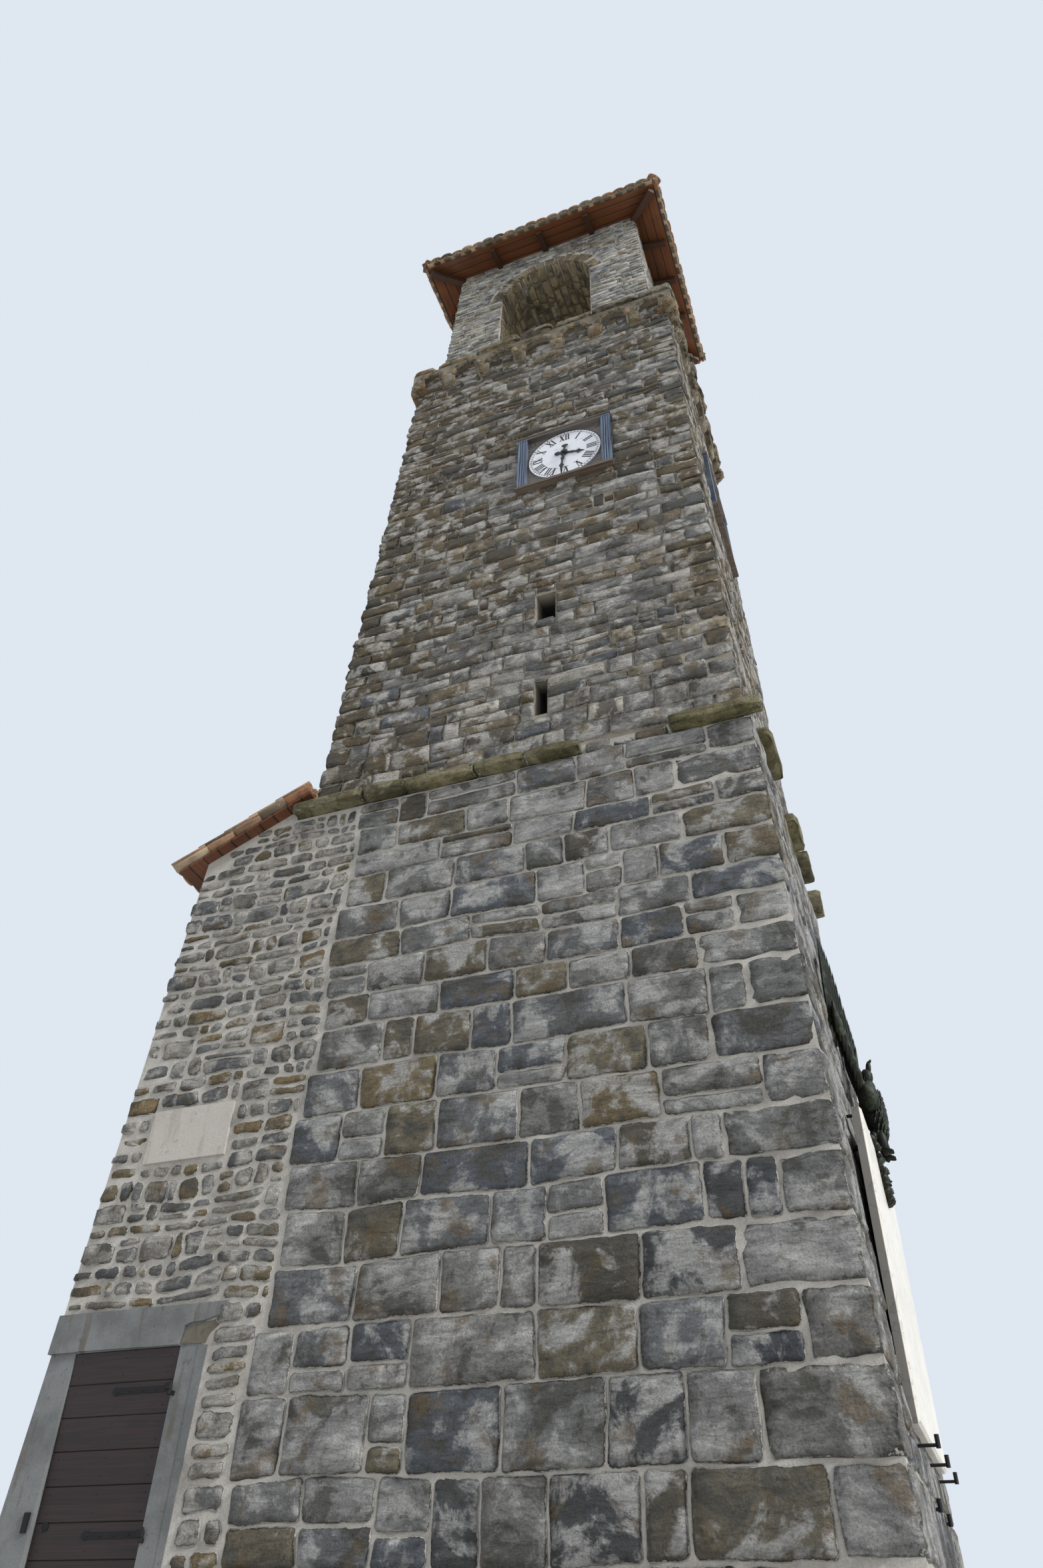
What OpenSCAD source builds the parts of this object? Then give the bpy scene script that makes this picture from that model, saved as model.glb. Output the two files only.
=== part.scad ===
// Stone clock tower with an open belfry, a hipped tile roof and a lean-to annex.
// Millimetres, +Z up. The origin is on the ground under the middle of the tower,
// the front with the clock and the door looks along -Y, the annex stands on the -X side.

/* [Lower stage] */
// Width of the tower at the ground, left to right
base_w = 5240; // [4800:10:6400]
// Depth of the tower at the ground, front to back
base_d = 4440; // [4000:10:5400]
// Height of the lower stage up to the string course
lower_h = 7340; // [6000:10:9000]
// How far each face leans in over the lower stage
lower_batter = 260; // [100:5:400]
// Thickness of the tower walls at the ground
foot_wall = 1300; // [1000:10:1500]
// Thickness of the ground floor
floor_t = 120; // [80:5:200]
// Width of the inner doorway between annex and tower
passage_w = 850; // [700:10:1000]
// Height of the inner doorway above the floor
passage_h = 1900; // [1700:10:2100]

/* [String course] */
// Thickness of the projecting slabs
string_t = 160; // [100:5:240]
// How far the slabs stand out from the lower wall
string_out = 140; // [80:5:220]
// Where the broken-out stretch on the front starts, from the middle
string_gap_x = 620; // [0:10:1200]
// Width of the broken-out stretch on the front
string_gap_w = 940; // [200:10:1400]
// Front ends of the slabs left on the right side, from the middle
string_right_y = [-1590, -55, 700, 1570]; // [-1800:5:1900]
// Lengths of the slabs left on the right side
string_right_len = [760, 615, 570, 350]; // [100:5:1000]

/* [Middle stage] */
// Ledge between the lower and the middle stage
mid_set = 40; // [20:5:100]
// Set-in of the middle stage at its right side
mid_set_w = 60; // [20:5:150]
// Reach of the middle stage's foot to the left, beyond an even taper
left_more = 230; // [0:10:300]
// Height of the middle stage
mid_h = 9050; // [7000:10:11000]
// How far each face leans in over the middle stage
mid_batter = 250; // [150:5:400]
// Taper of the middle stage in front and behind over its height
mid_batter_d = 330; // [150:5:400]
// Middle of the slit window, from the middle of the front
slit_x = 142; // [-400:1:400]
// Sill of the slit window above the foot of the middle stage
slit_sill = 600; // [300:10:1000]
// Width of the slit window
slit_w = 150; // [100:5:240]
// Height of the slit window
slit_h = 540; // [300:10:700]
// Middle of the small window, from the middle of the front
window_x = 182; // [-400:1:400]
// Sill of the small window above the foot of the middle stage
window_sill = 2160; // [1500:10:2600]
// Width of the small window
window_w = 245; // [150:5:400]
// Height of the small window
window_h = 480; // [300:10:600]
// Width and height of the scaffold holes left in the front
putlog = 120; // [80:5:160]
// Depth of the scaffold holes
putlog_deep = 350; // [100:10:400]

/* [Cornice] */
// How far the blind arches stand out from the wall head
cornice_out = 115; // [120:5:240]
// Blind arches on the front and on the back
bays_w = 7; // [5:1:9]
// Blind arches on each side
bays_d = 6; // [4:1:8]
// Width of each corbel
corbel_w = 190; // [140:5:240]
// Straight part of each corbel, above its rounded foot
corbel_h = 60; // [20:5:160]
// Stone left over the crown of each arch
crown_t = 110; // [60:5:200]
// Thickness of the slabs on the cornice
slab_t = 150; // [100:5:240]
// How far the slabs stand out beyond the arches
slab_lip = 50; // [20:5:120]
// Ledge inside the shaft that carries the belfry floor
floor_ledge = 120; // [80:5:200]

/* [Belfry] */
// Height of the belfry walls
bel_h = 3500; // [3200:10:4500]
// How far the belfry stands back from the wall head below
bel_set = 250; // [150:5:300]
// Set-in of the belfry in front and behind
bel_set_d = 190; // [150:5:260]
// How far each face leans in over the belfry
bel_batter = 135; // [60:5:160]
// Width of the vault that runs through the belfry from front to back
opening_w = 1630; // [1200:10:1800]
// Stone left over the crown of the vault
vault_t = 260; // [200:10:500]
// Height of the breast walls in the openings above the cornice slabs
opening_sill = 400; // [200:10:700]
// Crown of the vault above the cornice slabs
opening_top = 2970; // [2500:10:3100]
// Thickness of the belfry floor
bel_floor_t = 240; // [150:5:300]
// Diameter of the iron bars across the openings
bar_d = 34; // [20:1:50]
// Height of the bars above the breast walls
bar_z = 430; // [300:10:700]

/* [Roof] */
// Slope of the roof in degrees
roof_slope = 22; // [16:1:30]
// How far the roof reaches out beyond the wall head
eave_out = 500; // [400:10:700]
// Width of the wall plate
plate_w = 140; // [100:5:200]
// Height of the wall plate
plate_h = 100; // [80:5:160]
// Distance of the plate from the outer face of the wall
plate_in = 80; // [60:5:120]
// Width of a common rafter
rafter_w = 90; // [60:5:120]
// Height of a common rafter
rafter_h = 110; // [80:5:160]
// Distance between common rafters in front and back
rafter_pitch_w = 890; // [600:10:1000]
// Distance between common rafters on the sides
rafter_pitch_d = 730; // [500:10:800]
// Width of a hip rafter
hip_w = 100; // [80:5:140]
// Height of a hip rafter
hip_h = 150; // [120:5:200]
// Depth of the seat cut where a rafter sits on the plate
seat_cut = 25; // [10:1:35]
// Distance of the rafter ends from the edge of the boards
rafter_back = 60; // [20:5:120]
// Thickness of the roof boards
board_t = 24; // [18:1:40]
// Thickness of the tile covering
tile_t = 66; // [50:1:90]
// How far the tiles reach past the boards
tile_lip = 35; // [0:5:60]
// Radius of the hip and ridge tiles
hip_tile_r = 95; // [70:5:120]

/* [Clocks] */
// Side of the square clock frame
clock_side = 1350; // [1100:10:1500]
// Height of the clock frames
clock_high = 1220; // [1000:10:1400]
// Middle of the front clock, from the middle of the front
clock_x = 430; // [-500:10:500]
// Middle of the side clock, from the middle of the right side
clock_y = 0; // [-300:10:300]
// Middle of both clocks above the foot of the middle stage
clock_z = 5520; // [4500:10:6000]
// Width of the frame rails
clock_rail = 132; // [80:2:160]
// Width of the top and bottom rails of the clock frames
clock_cap = 66; // [40:2:120]
// Thickness of the frame rails
clock_rail_t = 92; // [88:1:130]
// Thickness of the back panel
clock_panel_t = 26; // [20:1:40]
// Radius of the dial
dial_r = 530; // [420:5:600]
// Thickness of the dial
dial_t = 12; // [6:1:20]
// Radius of the clock arbor
arbor_r = 12; // [8:1:20]
// Gap between the dial and the hour hand, and between the hands
hand_gap = 9; // [6:1:14]
// Thickness of a hand
hand_t = 8; // [5:1:12]
// Length of the minute hand
minute_len = 450; // [350:5:500]
// Length of the hour hand
hour_len = 305; // [220:5:360]
// Minutes after three o'clock that both clocks show
clock_minutes = 31; // [0:1:59]

/* [Stone tablet and eagle] */
// Width of the marble tablet
tablet_w = 2600; // [1500:10:2800]
// Height of the marble tablet
tablet_h = 2250; // [1500:10:2600]
// Thickness of the marble tablet
tablet_t = 80; // [40:2:100]
// Gap between the wall and the lower edge of the tablet, which hangs plumb
tablet_off = 8; // [6:1:40]
// Near edge of the tablet, from the middle of the right side
tablet_y = -1200; // [-1500:10:-900]
// Lower edge of the tablet above the ground
tablet_z = 1350; // [900:10:1800]
// Diameter of the iron pins and hooks
iron_d = 24; // [14:1:34]
// Middle of the eagle, from the middle of the right side
eagle_y = 150; // [-400:10:600]
// Span of the raised wings of the eagle
wing_span = 1500; // [1000:10:1900]
// Height of the eagle from its feet to its wing tips
eagle_h = 1960; // [1500:10:2200]

/* [Annex] */
// How far the annex stands out from the tower at the ground
annex_w = 1570; // [1300:10:2000]
// How far the outer annex wall leans in over the height of the lower stage
annex_batter = 410; // [200:5:480]
// Thickness of the outer annex wall, which leans as a whole
annex_wall = 300; // [250:10:400]
// Thickness of the front and back annex walls at the ground
gable_wall = 500; // [420:10:700]
// Slope of the annex roof in degrees
annex_slope = 25; // [15:1:32]
// Top of the annex roof above the string course, at the tower
annex_rise = 178; // [40:2:260]
// How far the annex roof reaches out over the outer wall
annex_eave = 280; // [200:10:500]
// How far the annex roof reaches out in front and behind
annex_verge = 120; // [60:5:200]
// Width of an annex rafter
annex_rafter_w = 80; // [60:5:120]
// Height of an annex rafter
annex_rafter_h = 110; // [80:5:140]
// Number of annex rafters
annex_rafters_n = 5; // [3:1:8]
// Width of the bare plaque on the annex
plaque_w = 860; // [500:10:1000]
// Height of the bare plaque
plaque_h = 500; // [300:10:600]
// Thickness of the bare plaque
plaque_t = 25; // [10:1:60]
// Left edge of the plaque, from the outer corner of the annex at the ground
plaque_in = 560; // [400:5:640]
// Lower edge of the plaque above the ground
plaque_z = 3530; // [3000:10:4500]

/* [Door] */
// Width of the door opening
door_w = 1020; // [900:10:1100]
// Height of the underside of the lintel above the ground
door_top = 1980; // [1900:10:2200]
// Width of the left jamb stone at the ground
jamb_w = 360; // [260:5:420]
// Height of the lintel
lintel_h = 290; // [200:10:350]
// Thickness of the door leaf
leaf_t = 50; // [40:1:70]
// Gap beside the hinges and over and under the leaf
leaf_gap = 6; // [5:1:10]
// Gap on the lock side, wider because the corner swings through it
lock_gap = 13; // [12:1:20]
// Number of boards in the door leaf
door_boards = 8; // [6:1:12]
// Width and depth of the groove between two boards
groove = 8; // [4:1:12]
// Radius of the hinge pins
pin_r = 8; // [6:0.5:12]
// Height of the upper hinge above the ground
hinge_top_z = 1680; // [1500:10:1800]
// Height of the lower hinge above the ground
hinge_low_z = 735; // [400:5:1000]
// Length of a hinge strap
strap_len = 560; // [300:10:800]
// Height of a hinge strap
strap_h = 46; // [30:1:70]

/* [Hidden] */

$fn = 64;
eps = 1;

// Levels and widths of the tower, from the ground up
shaft_w = base_w - 2 * foot_wall;
shaft_d = base_d - 2 * foot_wall;
lower_w = base_w - 2 * lower_batter;
lower_d = base_d - 2 * lower_batter;
mid_w = lower_w - 2 * mid_set_w;
mid_d = lower_d - 2 * mid_set;
mid_z = lower_h + string_t;
head_w = mid_w - 2 * mid_batter;
head_d = mid_d - 2 * mid_batter_d;
head_z = mid_z + mid_h;
arches_w = head_w + 2 * cornice_out;
arches_d = head_d + 2 * cornice_out;
slabs_w = arches_w + 2 * slab_lip;
slabs_d = arches_d + 2 * slab_lip;
bel_z = head_z + slab_t;
bel_w = head_w - 2 * bel_set;
bel_d = head_d - 2 * bel_set_d;
top_w = bel_w - 2 * bel_batter;
top_d = bel_d - 2 * bel_batter;
top_z = bel_z + bel_h;
lower_lean = atan(lower_batter / lower_h);
lower_left = lower_w / 2 + left_more;
mid_left = mid_w / 2 + left_more;
left_lean = (lower_batter - left_more) / lower_h;

// Roof planes. Roof timbers and tiles are drawn from the level of the underside
// of the boards at the edge of the boards
pitch = tan(roof_slope);
roof_w = top_w + 2 * eave_out;
roof_d = top_d + 2 * eave_out;
rafter_v = rafter_h / cos(roof_slope);
board_v = board_t / cos(roof_slope);
cover_v = board_v + tile_t / cos(roof_slope);
eave_z = round(top_z + plate_h - seat_cut - (eave_out + plate_in) * pitch + rafter_v);
fill_z = eave_z + eave_out * pitch;
ridge_half = (roof_w - roof_d) / 2;
ridge_beam_w = 60;
hip_drop = hip_w / 2 / sqrt(2) * pitch;

// Annex planes
annex_x = -base_w / 2 - annex_w;
annex_pitch = tan(annex_slope);
annex_lean = annex_batter / lower_h;
annex_top = mid_z + annex_rise;
annex_board_v = board_t / cos(annex_slope);
annex_tile_v = tile_t / cos(annex_slope);
annex_rafter_v = annex_rafter_h / cos(annex_slope);
annex_cover = annex_board_v + annex_tile_v;
annex_soffit = annex_top - annex_cover;
annex_wall_z = (annex_soffit + (annex_x + mid_left) * annex_pitch) / (1 - annex_lean * annex_pitch);
annex_edge = annex_x + annex_lean * annex_wall_z - annex_eave;
annex_half = base_d / 2 - gable_wall;

// Door places
door_x0 = annex_x + jamb_w;
door_x1 = door_x0 + door_w;
leaf_y = -face_y(door_top) + 5;
leaf_z = floor_t + leaf_gap;
leaf_h = door_top - leaf_gap - leaf_z;
leaf_w = door_w - leaf_gap - lock_gap;
pin_x = door_x1 + 25;
knuckle_r = 2 * pin_r;
pin_y = -face_y(hinge_low_z - strap_h) - knuckle_r - 8;
pin_fit = 0.08;

// Gap left under a piece that lies on a sloping face, so that the two don't cut
lay_gap = 0.05;
strap_t = 6;

// Clock layers, as distances out from the wall
dial_out = clock_panel_t + dial_t;
hour_out = dial_out + hand_gap;
minute_out = hour_out + hand_t + hand_gap;
arbor_end = minute_out + hand_t + hand_gap;
hour_turn = (3 + clock_minutes / 60) * 30;
minute_turn = clock_minutes * 6;

// Place of the marble tablet along X
tablet_x = base_w / 2 - lower_batter * tablet_z / lower_h + tablet_off;

// Distance of the lower front face from the middle at a height
function face_y(z) = base_d / 2 - lower_batter * z / lower_h;

// Solid of a stage whose four faces lean in, with more reach to the left at
// the foot or at the head
module leaning_block(w, d, h, in_w, in_d, left_foot, left_head) {
    reach = w + 2 * left_foot + 2 * left_head;
    intersection() {
        rotate([90, 0, 90])
            linear_extrude(height = reach, center = true)
                polygon([[-d / 2, 0], [d / 2, 0], [d / 2 - in_d, h], [-d / 2 + in_d, h]]);
        rotate([90, 0, 0])
            linear_extrude(height = d, center = true)
                polygon([
                    [-w / 2 - left_foot, 0], [w / 2, 0],
                    [w / 2 - in_w, h], [-w / 2 + in_w - left_head, h]
                ]);
    }
}

// Straight block given by its lowest and highest corners
module block(low, high) {
    translate(low)
        cube(high - low);
}

// Part of its children on one side of the shaft: front, back, left or right
module wall_side(side, reach) {
    above = fill_z + reach;
    intersection() {
        children();
        if (side == "front")
            block([-reach, -reach, -eps], [reach, -shaft_d / 2, above]);
        if (side == "back")
            block([-reach, shaft_d / 2, -eps], [reach, reach, above]);
        if (side == "left")
            block([-reach, -shaft_d / 2, -eps], [-shaft_w / 2, shaft_d / 2, above]);
        if (side == "right")
            block([shaft_w / 2, -shaft_d / 2, -eps], [reach, shaft_d / 2, above]);
    }
}

// Lower stage with the plain course behind the string course on top
module lower_mass() {
    leaning_block(base_w, base_d, lower_h, lower_batter, lower_batter, 0, left_more);
    block([-mid_left, -mid_d / 2, lower_h - eps], [mid_w / 2, mid_d / 2, mid_z]);
}

module lower_front_wall() {
    color("#8a887e")
        wall_side("front", base_w)
            lower_mass();
}

module lower_back_wall() {
    color("#8a887e")
        wall_side("back", base_w)
            lower_mass();
}

// Left wall with the inner doorway, and the closed right wall
module lower_side_walls() {
    color("#807e74") {
        difference() {
            wall_side("left", base_w)
                lower_mass();
            block([-base_w, -passage_w / 2, -eps], [0, passage_w / 2, floor_t + passage_h]);
        }
        wall_side("right", base_w)
            lower_mass();
    }
}

// One slab over the tower room, the inner doorway and the annex room
module ground_floor() {
    color("#9c9482") {
        block([-shaft_w / 2, -shaft_d / 2, 0], [shaft_w / 2, shaft_d / 2, floor_t]);
        intersection() {
            block([annex_x, -annex_half, 0], [-shaft_w / 2, annex_half, floor_t]);
            union() {
                block([-base_w / 2 - eps, -passage_w / 2, 0], [0, passage_w / 2, floor_t]);
                rotate([90, 0, 0])
                    linear_extrude(height = 2 * annex_half, center = true)
                        polygon([
                            [annex_x + annex_wall + lay_gap, 0],
                            [-base_w / 2, 0],
                            [-base_w / 2 + left_lean * floor_t, floor_t],
                            [annex_x + annex_wall + annex_lean * floor_t + lay_gap, floor_t]
                        ]);
            }
        }
    }
}

// Ring of projecting slabs before any of them breaks off
module string_ring() {
    w = lower_w + 2 * string_out;
    d = lower_d + 2 * string_out;
    difference() {
        block([-w / 2 - left_more, -d / 2, lower_h], [w / 2, d / 2, mid_z]);
        block([-mid_left, -mid_d / 2, lower_h - eps], [mid_w / 2, mid_d / 2, mid_z + eps]);
    }
}

module string_front() {
    color("#6d6a4c")
        difference() {
            intersection() {
                string_ring();
                block([-base_w, -base_d, 0], [base_w, -mid_d / 2, head_z]);
            }
            block([string_gap_x, -base_d, 0], [string_gap_x + string_gap_w, 0, head_z]);
        }
}

module string_right() {
    color("#6d6a4c")
        intersection() {
            string_ring();
            for (i = [0 : len(string_right_y) - 1])
                block(
                    [mid_w / 2, string_right_y[i], 0],
                    [base_w, min(string_right_y[i] + string_right_len[i], mid_d / 2), head_z]
                );
        }
}

module string_back() {
    color("#6d6a4c")
        intersection() {
            string_ring();
            block([-base_w, mid_d / 2, 0], [base_w, base_d, head_z]);
        }
}

// Middle stage before its holes are cut
module mid_mass() {
    translate([0, 0, mid_z])
        leaning_block(mid_w, mid_d, mid_h, mid_batter, mid_batter_d, left_more, 0);
}

module mid_front_wall() {
    color("#8f8c80")
        difference() {
            wall_side("front", base_w)
                mid_mass();
            block(
                [slit_x - slit_w / 2, -base_d, mid_z + slit_sill],
                [slit_x + slit_w / 2, 0, mid_z + slit_sill + slit_h]
            );
            block(
                [window_x - window_w / 2, -base_d, mid_z + window_sill],
                [window_x + window_w / 2, 0, mid_z + window_sill + window_h]
            );
            for (p = [[-700, window_sill + 500], [960, window_sill + 2000]])
                block(
                    [p[0], -base_d, mid_z + p[1]],
                    [p[0] + putlog, -mid_d / 2 + putlog_deep, mid_z + p[1] + putlog]
                );
        }
}

module mid_back_wall() {
    color("#8f8c80")
        wall_side("back", base_w)
            mid_mass();
}

module mid_side_walls() {
    color("#86837a")
        for (side = ["left", "right"])
            wall_side(side, base_w)
                mid_mass();
}

// Straight run of blind arches on rounded corbels, its front face on y = 0
module arch_run(len, bays, deep) {
    bay = len / bays;
    arch_r = (bay - corbel_w) / 2;
    spring = crown_t + arch_r;
    difference() {
        block([-len / 2, 0, -spring - corbel_h - cornice_out], [len / 2, deep, 0]);
        for (i = [0 : bays - 1])
            translate([-len / 2 + (i + 0.5) * bay, -eps, 0]) {
                translate([0, 0, -spring])
                    rotate([-90, 0, 0])
                        cylinder(r = arch_r, h = deep + 2 * eps, $fn = 48);
                block([-arch_r, 0, -spring - corbel_h - cornice_out - eps], [arch_r, deep + 2 * eps, -spring]);
            }
        difference() {
            block(
                [-len, -eps, -spring - corbel_h - cornice_out - eps],
                [len, cornice_out, -spring - corbel_h]
            );
            translate([-len, cornice_out, -spring - corbel_h])
                rotate([0, 90, 0])
                    cylinder(r = cornice_out, h = 2 * len, $fn = 48);
        }
    }
}

// Arch runs on all four sides, mitred by the wall that they stand on
module cornice_arches() {
    deep = cornice_out + mid_batter_d / 4;
    color("#8b8674")
        difference() {
            translate([0, 0, head_z]) {
                for (turn = [0, 180]) {
                    rotate([0, 0, turn])
                        translate([0, -arches_d / 2, 0])
                            arch_run(arches_w, bays_w, deep);
                    rotate([0, 0, turn + 90])
                        translate([0, -arches_w / 2, 0])
                            arch_run(arches_d, bays_d, deep);
                }
            }
            mid_mass();
        }
}

module cornice_slabs() {
    color("#6f6b50")
        difference() {
            block([-slabs_w / 2, -slabs_d / 2, head_z], [slabs_w / 2, slabs_d / 2, bel_z]);
            block(
                [-shaft_w / 2 + floor_ledge, -shaft_d / 2 + floor_ledge, head_z - eps],
                [shaft_w / 2 - floor_ledge, shaft_d / 2 - floor_ledge, bel_z + eps]
            );
        }
}

module belfry_floor() {
    color("#8d8778")
        block([-shaft_w / 2, -shaft_d / 2, bel_z], [shaft_w / 2, shaft_d / 2, bel_z + bel_floor_t]);
}

// Round-headed opening, drawn through the wall along Y
module round_opening(w) {
    rise = opening_top - w / 2;
    block([-w / 2, -base_d, opening_sill], [w / 2, 0, rise]);
    translate([0, 0, rise])
        rotate([90, 0, 0])
            cylinder(r = w / 2, h = base_d);
}

// Belfry walls with the filling between the rafters
module belfry_mass() {
    difference() {
        union() {
            translate([0, 0, bel_z])
                leaning_block(bel_w, bel_d, bel_h, bel_batter, bel_batter, 0, 0);
            difference() {
                block([-top_w / 2, -top_d / 2, top_z - eps], [top_w / 2, top_d / 2, fill_z]);
                block(
                    [-top_w / 2 + plate_in, -top_d / 2 + plate_in, top_z],
                    [top_w / 2 - plate_in, top_d / 2 - plate_in, fill_z + eps]
                );
            }
        }
        rafter_bars();
        hip_bars(hip_w);
    }
}

module belfry_front_wall() {
    color("#a5a397")
        difference() {
            wall_side("front", base_w)
                belfry_mass();
            translate([0, 0, bel_z])
                round_opening(opening_w);
        }
}

module belfry_back_wall() {
    color("#a5a397")
        difference() {
            wall_side("back", base_w)
                belfry_mass();
            translate([0, 0, bel_z])
                rotate([0, 0, 180])
                    round_opening(opening_w);
        }
}

module belfry_side_walls() {
    color("#9c9a8e")
        for (side = ["left", "right"])
            wall_side(side, base_w)
                belfry_mass();
}

// Piers and barrel vault between the front and the back wall
module belfry_vault() {
    color("#8d7f66")
        translate([0, 0, bel_z])
            difference() {
                block(
                    [-shaft_w / 2, -shaft_d / 2, bel_floor_t],
                    [shaft_w / 2, shaft_d / 2, opening_top + vault_t]
                );
                block(
                    [-opening_w / 2, -shaft_d / 2 - eps, bel_floor_t - eps],
                    [opening_w / 2, shaft_d / 2 + eps, opening_top - opening_w / 2]
                );
                translate([0, shaft_d, opening_top - opening_w / 2])
                    rotate([90, 0, 0])
                        cylinder(r = opening_w / 2, h = 2 * shaft_d);
            }
}

// Iron bar across each opening, let into the jambs
module belfry_bars() {
    wall_y = (bel_d / 2 - bel_batter / 2 + shaft_d / 2) / 2;
    color("#2e2b28")
        for (side = [-1, 1])
            translate([-opening_w / 2, side * wall_y, bel_z + opening_sill + bar_z])
                rotate([0, 90, 0])
                    cylinder(d = bar_d, h = opening_w, $fn = 24);
}

// Everything under four roof planes that lie v above the underside of the boards
// and reach the given lip out beyond them
module under_hips(lip, v) {
    w = roof_w / 2 + lip;
    d = roof_d / 2 + lip;
    low = -lip * pitch;
    intersection() {
        rotate([90, 0, 90])
            linear_extrude(height = 2 * w, center = true)
                polygon([[-d, low], [-d, low + v], [0, v + roof_d / 2 * pitch], [d, low + v], [d, low]]);
        rotate([90, 0, 0])
            linear_extrude(height = 2 * d, center = true)
                polygon([[-w, low], [-w, low + v], [0, v + roof_w / 2 * pitch], [w, low + v], [w, low]]);
    }
}

// Layer that lies on the roof planes between two heights above the boards
module roof_layer(lip, low, high) {
    translate([0, 0, eave_z])
        difference() {
            under_hips(lip, high);
            under_hips(lip, low);
        }
}

module wall_plate() {
    color("#6b3a20")
        difference() {
            block(
                [-top_w / 2 + plate_in, -top_d / 2 + plate_in, top_z],
                [top_w / 2 - plate_in, top_d / 2 - plate_in, top_z + plate_h]
            );
            block(
                [-top_w / 2 + plate_in + plate_w, -top_d / 2 + plate_in + plate_w, top_z - eps],
                [top_w / 2 - plate_in - plate_w, top_d / 2 - plate_in - plate_w, top_z + plate_h + eps]
            );
            hip_bars(0);
        }
}

// Four hip rafters and the short ridge beam between them, made higher by
// the given amount where they only cut a notch
module hip_bars(more) {
    run = roof_d / sqrt(2);
    start = rafter_back * sqrt(2);
    rise = pitch / sqrt(2);
    crossing = roof_d / 2 * pitch - hip_drop - hip_h;
    translate([0, 0, eave_z]) {
        for (sx = [-1, 1], sy = [-1, 1])
            translate([sx * roof_w / 2, sy * roof_d / 2, -hip_drop])
                rotate([90, 0, atan2(-sy, -sx)])
                    linear_extrude(height = hip_w, center = true)
                        polygon([
                            [start, start * rise + more],
                            [start, start * rise - hip_h],
                            [run, run * rise - hip_h],
                            [run, run * rise + more]
                        ]);
        block(
            [-ridge_half - 0.4 * hip_w, -ridge_beam_w / 2, crossing],
            [ridge_half + 0.4 * hip_w, ridge_beam_w / 2, (roof_d - hip_w) / 2 * pitch]
        );
    }
}

module hip_rafters() {
    color("#5e2f1a")
        hip_bars(0);
}

// Three rafters of a slope that falls towards -Y from a ridge at y = -stop
module slope_rafters(half, stop, step) {
    for (i = [-1 : 1])
        translate([i * step, 0, 0])
            rotate([90, 0, 90])
                linear_extrude(height = rafter_w, center = true)
                    polygon([
                        [-half + rafter_back, rafter_back * pitch],
                        [-half + rafter_back, rafter_back * pitch - rafter_v],
                        [-stop, (half - stop) * pitch - rafter_v],
                        [-stop, (half - stop) * pitch]
                    ]);
}

// All common rafters, cut off at the hips and at the ridge beam
module rafter_bars() {
    inset = hip_w / sqrt(2);
    w = roof_w / 2;
    d = roof_d / 2;
    near = ridge_half - inset + ridge_beam_w / 2;
    translate([0, 0, eave_z])
        for (turn = [0, 180])
            rotate([0, 0, turn]) {
                intersection() {
                    slope_rafters(d, 0, rafter_pitch_w);
                    translate([0, 0, -top_z])
                        linear_extrude(height = 2 * top_z)
                            polygon([
                                [-w + inset, -d], [w - inset, -d],
                                [near, -ridge_beam_w / 2], [-near, -ridge_beam_w / 2]
                            ]);
                }
                rotate([0, 0, 90])
                    intersection() {
                        slope_rafters(w, ridge_half, rafter_pitch_d);
                        translate([0, 0, -top_z])
                            linear_extrude(height = 2 * top_z)
                                polygon([[-d + inset, -w], [d - inset, -w], [0, -w + d - inset]]);
                    }
            }
}

module common_rafters() {
    color("#6a3319")
        difference() {
            rafter_bars();
            wall_plate();
        }
}

module roof_boards() {
    color("#8a3f1c")
        roof_layer(0, 0, board_v);
}

module roof_tiles() {
    color("#b98a63")
        roof_layer(tile_lip, board_v + lay_gap, cover_v);
}

// Half-round tiles over the hips and the ridge, bedded on the covering
module hip_tiles() {
    w = roof_w / 2 + tile_lip;
    d = roof_d / 2 + tile_lip;
    run = d * sqrt(2);
    tilt = atan(pitch / sqrt(2));
    color("#b07f58")
        translate([0, 0, eave_z])
            difference() {
                union() {
                    for (sx = [-1, 1], sy = [-1, 1])
                        translate([sx * w, sy * d, cover_v - tile_lip * pitch])
                            rotate([0, 90 - tilt, atan2(-sy, -sx)])
                                cylinder(r = hip_tile_r, h = run / cos(tilt), $fn = 12);
                    translate([-ridge_half - hip_tile_r, 0, cover_v + roof_d / 2 * pitch])
                        rotate([0, 90, 0])
                            cylinder(r = hip_tile_r, h = 2 * (ridge_half + hip_tile_r), $fn = 12);
                }
                under_hips(tile_lip + 2 * hip_tile_r, cover_v + lay_gap);
                translate([-w - 2 * hip_tile_r, -d - 2 * hip_tile_r, -top_z])
                    cube([2 * w + 4 * hip_tile_r, 2 * d + 4 * hip_tile_r, top_z - (tile_lip + 2 * hip_tile_r) * pitch]);
            }
}

// Puts children on the front or the right face of the middle stage: local X
// runs along the wall, local Z up it and local -Y straight out of it
module on_mid_face(side) {
    fall = side == "front" ? mid_batter_d : mid_batter;
    half = (side == "front" ? mid_d : mid_w) / 2 - fall * clock_z / mid_h;
    rotate([0, 0, side == "front" ? 0 : 90])
        translate([side == "front" ? clock_x : clock_y, -half, mid_z + clock_z])
            rotate([-atan(fall / mid_h), 0, 0])
                children();
}

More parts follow.
